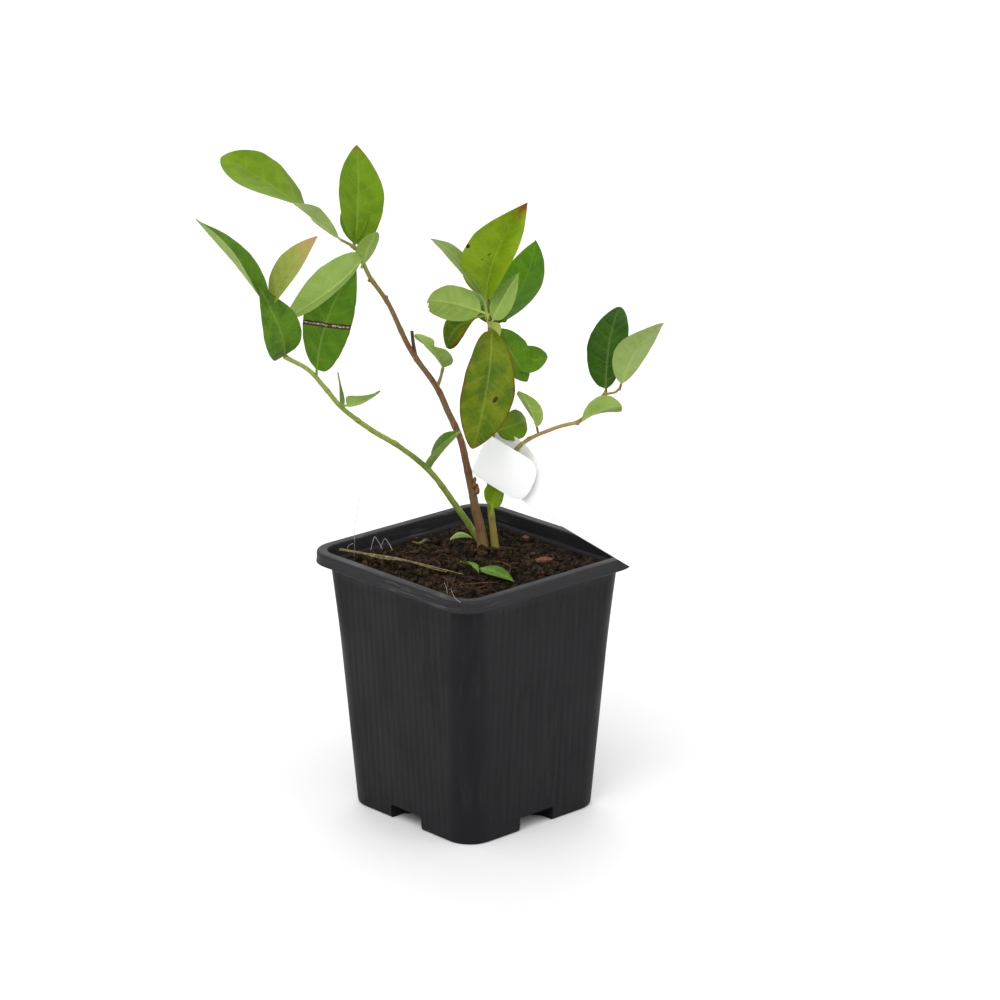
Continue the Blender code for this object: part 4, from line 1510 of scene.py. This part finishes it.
    def roof(self, side: int) -> bpy.types.Object:
        """The raised floor over one notch."""
        made = self.notch(side, self.wall, self.notch_height + self.wall, -self.wall / 2)
        for vert in made.data.vertices:
            vert.co.z = max(vert.co.z, self.floor / 2)
        return made

    def drain(self, side: int) -> bpy.types.Object:
        """The hole through one notch's roof."""
        bm = bmesh.new()
        bmesh.ops.create_cone(bm, cap_ends=True, segments=32, radius1=self.drain_radius,
                              radius2=self.drain_radius, depth=6 * MM)
        reach = self.base_side / 2 - self.drain_inset
        turn = side * math.pi / 2
        bmesh.ops.translate(bm, verts=bm.verts,
                            vec=(reach * math.cos(turn), reach * math.sin(turn), self.notch_height))
        return body_of(f"drain_{side}", bm)

    def build(self) -> None:
        """Make the pot in place of its CAD node."""
        rings = self.wall_rings() + self.lip_rings()
        rings += [self.inner_ring(z, self.wall) for z in np.linspace(self.height - self.step_drop,
                                                                     self.floor, 8)]
        mesh = MeshBuilder()
        mesh.loft(np.array(rings))
        pot = mesh.build("ribbed_pot", [self.finish.dress()], "pot_plastic", ["pot"])
        for side in range(4):
            carve(pot, self.roof(side), "UNION")
        for side in range(4):
            carve(pot, self.notch(side, 0, self.notch_height, 6 * MM), "DIFFERENCE")
            carve(pot, self.drain(side), "DIFFERENCE")
        pot.data.shade_smooth()
        pot.data.set_sharp_from_angle(angle=math.radians(38))


@dataclass(frozen=True)
class Compost:
    """Lumpy compost with crumbs, bark chips, straw, fibres and fallen bits of leaf."""
    pot: Pot
    level: float = 94.4 * MM
    mound: float = 2.4 * MM
    mound_reach: float = 15 * MM
    lump: float = 2.1 * MM
    edge_level: float = 93.8 * MM
    inset: float = 1.5 * MM
    rings: int = 84
    crumbs: int = 760
    chips: int = 26
    earth: EarthFinish = EarthFinish("moist_compost", screen_colour(12, 10, 7), screen_colour(68, 55, 39),
                                     520, 0.92, 0.6)
    crumb: EarthFinish = EarthFinish("compost_crumb", screen_colour(15, 12, 8), screen_colour(72, 57, 41),
                                     600, 0.9, 0.4)
    chip: EarthFinish = EarthFinish("bark_chip", screen_colour(34, 24, 16), screen_colour(78, 58, 42),
                                    900, 0.85, 0.3, (1, 1, 3))
    pink_chip: EarthFinish = EarthFinish("fresh_bark_chip", screen_colour(92, 62, 46),
                                         screen_colour(138, 100, 78), 700, 0.8, 0.25, (1, 3, 1))
    straw: EarthFinish = EarthFinish("dry_straw", screen_colour(86, 76, 48), screen_colour(150, 138, 98),
                                     1300, 0.7, 0.2, (0.4, 1, 1))
    fibre: EarthFinish = EarthFinish("root_fibre", screen_colour(72, 50, 28), screen_colour(122, 92, 58),
                                     900, 0.7, 0.1)
    hair: EarthFinish = EarthFinish("pale_hair", screen_colour(142, 140, 130), screen_colour(182, 180, 170),
                                    900, 0.6, 0.05)

    def height_at(self, x: float, y: float) -> float:
        """Height of the surface over a place, in metres in the part's frame."""
        foot = plant_to_part([(5.5, 17.5, 0)])[0]
        near = math.hypot(x - foot[0], y - foot[1]) / self.mound_reach
        rise = self.mound * max(0.0, 1 - near) ** 0.8 if near < 1 else 0.0
        place = Vector((x, y, 0.0))
        broad = noise.noise(place * 95 + Vector((3.1, 0, 7.7)))
        clods = noise.noise(place * 260 + Vector((0, 5.2, 1.3)))
        fine = noise.noise(place * 700 + Vector((8.4, 2.2, 0)))
        cracks = abs(noise.noise(place * 420 + Vector((1.0, 9.0, 4.0))))
        return (self.level + rise + self.lump * (0.75 * broad + 0.6 * clods + 0.3 * fine)
                - 0.5 * MM * (0.4 - cracks) * 2)

    def surface_rings(self) -> list[Array]:
        """Rings from the pot's wall in to the middle, on the lumpy surface."""
        edge = self.pot.inner_ring(self.edge_level, self.inset)[::2]
        rings = []
        for share in 1 - (np.arange(self.rings) / self.rings) ** 0.95:
            flat = edge[:, :2] * share
            drop = max(0.0, (share - 0.93) / 0.07) ** 2
            heights = [self.height_at(x, y) * (1 - drop) + self.edge_level * drop for x, y in flat]
            rings.append(np.column_stack([flat, heights]))
        return rings

    def build(self) -> None:
        """Make the compost and what lies on it."""
        low = [self.pot.inner_ring(z, self.pot.wall + GAP)[::2]
               for z in (self.pot.floor + GAP, 50 * MM, self.edge_level - 0.5 * MM)]
        mesh = MeshBuilder()
        mesh.loft(np.array(low + self.surface_rings()))
        ground = mesh.build("compost_surface", [self.earth.dress()], "compost", ["soil"], sharp=80)
        for side in range(4):
            carve(ground, self.pot.notch(side, self.pot.wall + GAP, self.pot.notch_height + self.pot.wall + GAP,
                                         4 * MM), "DIFFERENCE")
        ground.data.shade_smooth()
        ground.data.set_sharp_from_angle(angle=math.radians(80))
        self.build_crumbs()
        self.build_litter()
        self.build_scraps()

    def pebble(self, centre: Array, size: Array, seed: int, rough: float, sides: int = 9,
               rows: int = 7) -> Array:
        """A lumpy round body, turned at random.

        Args:
            centre: Its middle, in metres.
            size: Its half sizes along three axes, in metres.
            seed: Picks its shape and turn.
            rough: How lumpy it is.
            sides: Points in each ring.
            rows: How many rings.

        Returns:
            Its rings.
        """
        rng = np.random.default_rng(seed)
        polar = np.linspace(0.12, math.pi - 0.12, rows)[:, None]
        turn = np.linspace(0, 2 * math.pi, sides, endpoint=False)[None]
        ball = np.stack([np.sin(polar) * np.cos(turn), np.sin(polar) * np.sin(turn),
                         np.cos(polar) * np.ones_like(turn)], -1)
        lumps = 1 + rough * rng.uniform(-1, 1, ball.shape[:2])
        axis = unit(rng.normal(size=3))
        spin = rng.uniform(0, 2 * math.pi)
        level = np.array((math.cos(spin), math.sin(spin), 0))
        tilt = unit(level + axis * 0.35)
        side = unit(np.cross((0, 0, 1), tilt))
        basis = np.array([tilt, side, np.cross(tilt, side)])
        return centre + (ball * lumps[..., None] * size) @ basis

    def scattered(self, rng: np.random.Generator) -> tuple[float, float]:
        """A random place on the compost, clear of the wall."""
        reach = self.pot.wall_side(self.level) / 2 - 4.2 * MM
        while True:
            x, y = rng.uniform(-reach, reach, 2)
            if max(abs(x), abs(y)) < reach and math.hypot(max(abs(x) - reach * 0.8, 0),
                                                          max(abs(y) - reach * 0.8, 0)) < reach * 0.2:
                return x, y

    def build_crumbs(self) -> None:
        """Make the crumbs and bark chips, joined, in three finishes."""
        mesh = MeshBuilder()
        rng = np.random.default_rng(21)
        for number in range(self.crumbs):
            x, y = self.scattered(rng)
            size = rng.uniform(0.35, 1.0) ** 1.8 * 1.7 * MM * rng.uniform(0.6, 1.0, 3)
            centre = np.array((x, y, self.height_at(x, y) + size[2] * 0.25))
            mesh.loft(self.pebble(centre, size, 1000 + number, 0.22), 0)
        for number in range(self.chips):
            x, y = self.scattered(rng)
            long = rng.uniform(1.4, 3.6) * MM
            size = np.array((long, long * rng.uniform(0.35, 0.7), rng.uniform(0.4, 0.9) * MM))
            centre = np.array((x, y, self.height_at(x, y) + 0.4 * MM))
            mesh.loft(self.pebble(centre, size, 3000 + number, 0.3, 7, 5), 1)
        for place, size in (((26.4, 5.8), (4.0, 1.9, 1.3)), ((19.5, 31.0), (2.0, 1.5, 1.1)),
                            ((1.2, 13.4), (3.4, 2.6, 1.0)), ((6.4, 12.6), (3.0, 2.4, 0.9)),
                            ((3.6, 10.6), (2.8, 2.2, 0.8)), ((10.6, 15.0), (2.4, 2.0, 0.8))):
            spot = plant_to_part([(*place, 0)])[0]
            centre = np.array((spot[0], spot[1], self.height_at(spot[0], spot[1]) + size[2] * 0.6 * MM))
            mesh.loft(self.pebble(centre, np.array(size) * MM, round(place[0] * 10), 0.14, 9, 6),
                      1 if size[2] < 1.05 else 2)
        mesh.build("crumbs_and_chips", [self.crumb.dress(), self.chip.dress(), self.pink_chip.dress()],
                   "compost", sharp=30)

    def on_ground(self, route: Sequence[Point]) -> Array:
        """Lay a route on the compost.

        Args:
            route: Points as (right, back, height over the compost), in plant millimetres.

        Returns:
            The smooth route in the plant frame.
        """
        laid = []
        for right, back, over in route:
            spot = plant_to_part([(right, back, 0)])[0]
            laid.append((right, back, self.height_at(spot[0], spot[1]) / MM + over))
        return smooth_path(laid, 0.8)

    def build_litter(self) -> None:
        """Make the straw stalk, the bent straws, the fibres and the pale hairs."""
        mesh = MeshBuilder()
        stalk = smooth_path(((-50.0, 4.9, 98.7), (-43, 2.2, 98.5), (-35, -0.4, 98.0), (-27, -3.2, 97.6),
                             (-19.9, -6.7, 97.0), (-11, -11.5, 96.4), (-3.8, -15.3, 95.8)), 0.8)
        share = np.linspace(0, 1, len(stalk))
        worn = 1 + 0.22 * Ripple(17, 5).at(share * 9)
        mesh.tube(stalk, (0.8 - 0.5 * share ** 1.4) * worn, 10, 0, 0.6)
        mesh.tube(stalk[4:-9] + np.array((0.4, -1.1, -0.2)) + 0.4 * np.outer(np.sin(share[4:-9] * 14), (0, 1, 0.4)),
                  0.26 * worn[4:-9], 6, 0)
        for route, radius in ((((-38.8, 15, 95.2), (-38.0, 15, 98.4), (-37.2, 15, 100.4), (-36, 15.2, 98.6),
                                (-34.4, 15.4, 95.6)), 0.26),
                              (((-35.2, 16, 95.6), (-33.6, 16, 99.2), (-32.4, 15.4, 98.4), (-30.6, 14.6, 95.2)), 0.22),
                              (((-47.6, 8.4, 96.6), (-46.9, 7.6, 99.2), (-45.2, 6.4, 100.6)), 0.22)):
            mesh.tube(smooth_path(route, 0.6), radius * 0.55, 6, 2)
        curl = self.on_ground(((-23.4, 22.2, 1.2), (-20.5, 20.6, 1.6), (-18.4, 22.4, 2.4), (-17.2, 24.6, 1.2)))
        mesh.tube(curl, 0.6 * np.sin(np.linspace(0.3, 2.9, len(curl))), 8, 0)
        rng = np.random.default_rng(33)
        for _ in range(56):
            x, y = self.scattered(rng)
            mesh.tube(self.random_fibre(rng, x, y, rng.uniform(4, 13)), rng.uniform(0.06, 0.15), 5, 1)
        for route in (((6.1, 3.1, 0.6), (9.8, -1.6, 3.0), (13.4, -8.2, 2.4), (13.1, -13.2, 1.4), (11.2, -16.6, 0.5)),
                      ((-11.2, -13.2, 0.6), (-10.8, -19, 1.6), (-9.6, -23, 1.2), (-9.2, -29.2, 1.8)),
                      ((-6.5, -25.8, 0.9), (-1.5, -24.6, 1.4), (3, -25.2, 1.2), (9.1, -23.5, 0.8)),
                      ((-4.9, -22.8, 0.9), (-1.0, -27.6, 1.3), (6.1, -26.5, 0.9))):
            mesh.tube(self.on_ground(route), 0.16, 6, 1)
        hairs = (((-44.8, 8.6, 94.5), (-44.6, 8.6, 100), (-44.5, 8.6, 105), (-43.5, 8.6, 113),
                  (-42.9, 8.6, 117.4), (-42.4, 8.6, 119)),
                 ((-10.4, -24, 95), (-10.6, -28, 96.8), (-9.8, -31, 96.2), (-9.4, -34, 94.8)),
                 ((-9.6, -33, 95), (-8.6, -41, 98.6), (-7.9, -46.4, 100.6), (-7.3, -51.4, 100.9),
                  (-6.2, -56.6, 100.6), (-4.3, -60.2, 100.4)))
        for route in hairs:
            mesh.tube(smooth_path(route, 0.8), 0.07, 6, 2)
        mesh.build("straw_and_fibres", [self.straw.dress(), self.fibre.dress(), self.hair.dress()], "compost")

    def random_fibre(self, rng: np.random.Generator, x: float, y: float, length: float) -> Array:
        """A wandering fibre that lies on the compost.

        Args:
            rng: Source of chance.
            x: Where it starts, in metres in the part's frame.
            y: Where it starts, in metres in the part's frame.
            length: Its length in millimetres.

        Returns:
            Its path in the plant frame.
        """
        heading = rng.uniform(0, 2 * math.pi)
        cos, sin = math.cos(-PLANT_TURN), math.sin(-PLANT_TURN)
        points = []
        reach = self.pot.wall_side(self.level) / 2 - 3 * MM
        for _ in range(5):
            x, y = np.clip((x, y), -reach, reach)
            right, back = (x * cos - y * sin) / MM, (x * sin + y * cos) / MM
            points.append((right, back, self.height_at(x, y) / MM + rng.uniform(0.1, 1.0)))
            x += length / 4 * MM * math.cos(heading)
            y += length / 4 * MM * math.sin(heading)
            heading += rng.normal(0, 0.7)
        return smooth_path(points, 0.8)

    def build_scraps(self) -> None:
        """Make the bits of green leaf that lie on the compost."""
        mesh = MeshBuilder("vein", "blush", "scar")
        shape = LeafShape(vein_pairs=3, thickness=0.2)
        scraps = (Blade((2.6, -10.8, 96.6), -50, 0, 19, 5.6, roll=16, arch=1.2, fold=8, widest=0.42,
                        start=0, stalk=0.8, tint=LeafTint.GRASS, scars=(Scar(0.8, 0.4, 0.05, 0.2),)),
                  Blade((-4.6, -3.4, 96.8), -58, -2, 12.4, 4.6, roll=-20, arch=1.0, fold=14, start=0,
                        stalk=0.5, tint=LeafTint.DEEP),
                  Blade((-9.0, 22.6, 96.8), 4, 2, 8.4, 2.6, roll=215, arch=-1.2, sweep=1.3, fold=10, start=0,
                        stalk=0.4, tint=LeafTint.FRESH))
        for number, blade in enumerate(scraps):
            shape.add(mesh, blade, 300 + number)
        finishes = [side.dress() for side in LeafTint.DUSKY.value]
        mesh.build("leaf_scraps", finishes, "leaf", sharp=65)


@dataclass(frozen=True)
class Label:
    """A blank white strip on edge, looped round the right-hand stems and laid over the rim.

    Sizes are in millimetres. A route is of points (along the strip, back from its face).
    """
    width: float = 17.5
    thickness: float = 0.3
    anchor: Point = (12.0, 6.0, 130.4)
    heading: float = -24.0
    slope: float = 24.0
    reach: float = 160.0
    corner: float = 3.0
    end_corner: float = 6.0
    route: tuple[tuple[float, float], ...] = (
        (16, 0.1), (14.9, 0.4), (11.5, 1.1), (8.0, 2.6), (5.0, 5.0), (1.0, 7.6), (-3.8, 8.6), (-8.2, 8.0),
        (-11.2, 5.6), (-11.9, 2.4), (-11.2, -0.1), (-9.4, -1.3), (-7.2, -1.5), (0, -1.7), (12.5, -1.9))
    columns: int = 14
    finish: LabelFinish = LabelFinish()

    def frame(self) -> tuple[Array, Array, Array]:
        """The directions along the strip, back from its face, and across its width."""
        heading, slope = math.radians(self.heading), math.radians(self.slope)
        flat = np.array((math.cos(heading), math.sin(heading), 0))
        along = flat * math.cos(slope) - np.array((0, 0, math.sin(slope)))
        width = flat * math.sin(slope) + np.array((0, 0, math.cos(slope)))
        return along, np.cross(width, along), width

    def build(self) -> None:
        """Make the strip in place of the label's three nodes."""
        along, back, width = self.frame()
        loop = smooth_path([(a, b, 0) for a, b in self.route], 0.6)[:, :2]
        arm = np.column_stack([np.linspace(self.reach, 17, 150), np.zeros(150)])
        path = np.vstack([arm, loop])
        ways = unit(np.gradient(path, axis=0))
        arc = np.concatenate([[0], np.cumsum(np.linalg.norm(np.diff(path, axis=0), axis=1))])
        ends = np.minimum(arc, arc[-1] - arc)
        corner = np.where(arc < arc[-1] / 2, self.corner, self.end_corner)
        cut = np.sqrt(np.clip(1 - np.clip(1 - ends / corner, 0, 1) ** 2, 0, 1))
        half = self.width / 2 - corner * (1 - cut)
        across_width = np.linspace(-1, 1, self.columns)
        sway = 0.35 * Ripple(91, 3).at(arc / 60)[:, None] * np.clip(ends / 20, 0, 1)[:, None]
        cupped = 0.25 * (across_width ** 2)[None] * np.clip(ends / 10, 0.2, 1)[:, None]
        middle = (np.array(self.anchor) + path[:, :1] * along + path[:, 1:] * back)[:, None]
        spread = (half[:, None] * across_width)[..., None] * width
        normal = (-ways[:, 1:] * along + ways[:, :1] * back)[:, None]
        sheet = middle + spread + normal * (sway + cupped)[..., None]
        skin = self.thickness / 2 * np.sqrt(np.clip(1 - across_width ** 10, 0.15, 1))[None, :, None]
        rings = np.concatenate([sheet + normal * skin, (sheet - normal * skin)[:, ::-1]], 1)
        mesh = MeshBuilder()
        mesh.loft(plant_to_part(rings))
        mesh.build("blank_label", [self.finish.dress()], "label_plastic",
                   ["label_arm", "label_loop", "label_end"], sharp=50)


@dataclass(frozen=True)
class Studio:
    """Pale floor, soft light and the camera."""
    focal_pixels: float = 4048.3
    image_pixels: float = 1000
    sensor: float = 36
    distance: float = 1500
    elevation: float = 17.64
    target: Point = (9.8, 0.0, 119.7)
    floor_reach: float = 30.0
    floor_grey: float = 0.74
    sky_strength: float = 1.0

    def build(self) -> None:
        """Set floor, lights, world and camera."""
        self.lay_floor()
        self.light_world()
        self.hang_light("key", (-1500, -3500, 4500), 4.0, 175)
        self.hang_light("fill", (4500, -2500, 3200), 4.0, 75)
        self.hang_light("back", (-500, 4500, 4500), 4.0, 110)
        self.place_camera()
        bpy.context.scene.view_settings.view_transform = "Standard"

    def lay_floor(self) -> None:
        """A wide level floor, just under the pot, with a barely mottled matt finish."""
        bm = bmesh.new()
        bmesh.ops.create_grid(bm, x_segments=8, y_segments=8, size=self.floor_reach)
        floor = body_of("floor", bm)
        if floor.data.polygons[0].normal.z < 0:
            floor.data.flip_normals()
        shader = Shader("pale_floor")
        clouds = shader.step(shader.noise(shader.place(), 3, 2), 0.2, 0.8)
        grey = self.floor_grey
        colour = shader.blend(clouds, (grey, grey, grey), (grey * 1.01, grey * 1.01, grey * 1.01))
        floor.data.materials.append(shader.finish(colour, 0.9, Specular_IOR_Level=0.1))

    def light_world(self) -> None:
        """Even white light from all round."""
        world = bpy.data.worlds.new("studio")
        world.use_nodes = True
        back = world.node_tree.nodes["Background"]
        back.inputs["Color"].default_value = (1, 1, 1, 1)
        back.inputs["Strength"].default_value = self.sky_strength
        bpy.context.scene.world = world

    def hang_light(self, name: str, place: Point, size: float, power: float) -> None:
        """Hang a soft square light that looks at the plant.

        Args:
            name: Its name.
            place: Its place in the plant frame, in millimetres.
            size: Its side in metres.
            power: Its power in watts.
        """
        light = bpy.data.lights.new(name, "AREA")
        light.size = size
        light.energy = power
        made = bpy.data.objects.new(name, light)
        made.location = plant_to_part([place])[0]
        aim = Vector(plant_to_part([self.target])[0]) - made.location
        made.rotation_euler = aim.to_track_quat("-Z", "Y").to_euler()
        bpy.context.scene.collection.objects.link(made)

    def place_camera(self) -> None:
        """Set the camera at the photograph's viewing angle."""
        tilt = math.radians(self.elevation)
        back = np.array((0, -math.cos(tilt), math.sin(tilt)))
        camera = bpy.data.cameras.new("camera")
        camera.sensor_width = self.sensor
        camera.lens = self.focal_pixels * self.sensor / self.image_pixels
        camera.clip_start = 0.05
        camera.clip_end = 50
        made = bpy.data.objects.new("camera", camera)
        made.location = plant_to_part([np.array(self.target) + back * self.distance])[0]
        aim = Vector(plant_to_part([self.target])[0]) - made.location
        made.rotation_euler = aim.to_track_quat("-Z", "Y").to_euler()
        bpy.context.scene.collection.objects.link(made)
        bpy.context.scene.camera = made


def main() -> None:
    """Build the studio, the pot, its compost, the plant and the label, in that order."""
    logging.basicConfig(level=logging.INFO, format="%(name)s %(message)s")
    pot = Pot()
    Studio().build()
    pot.build()
    Compost(pot).build()
    Plant().build()
    Label().build()


if __name__ == "__main__":
    main()
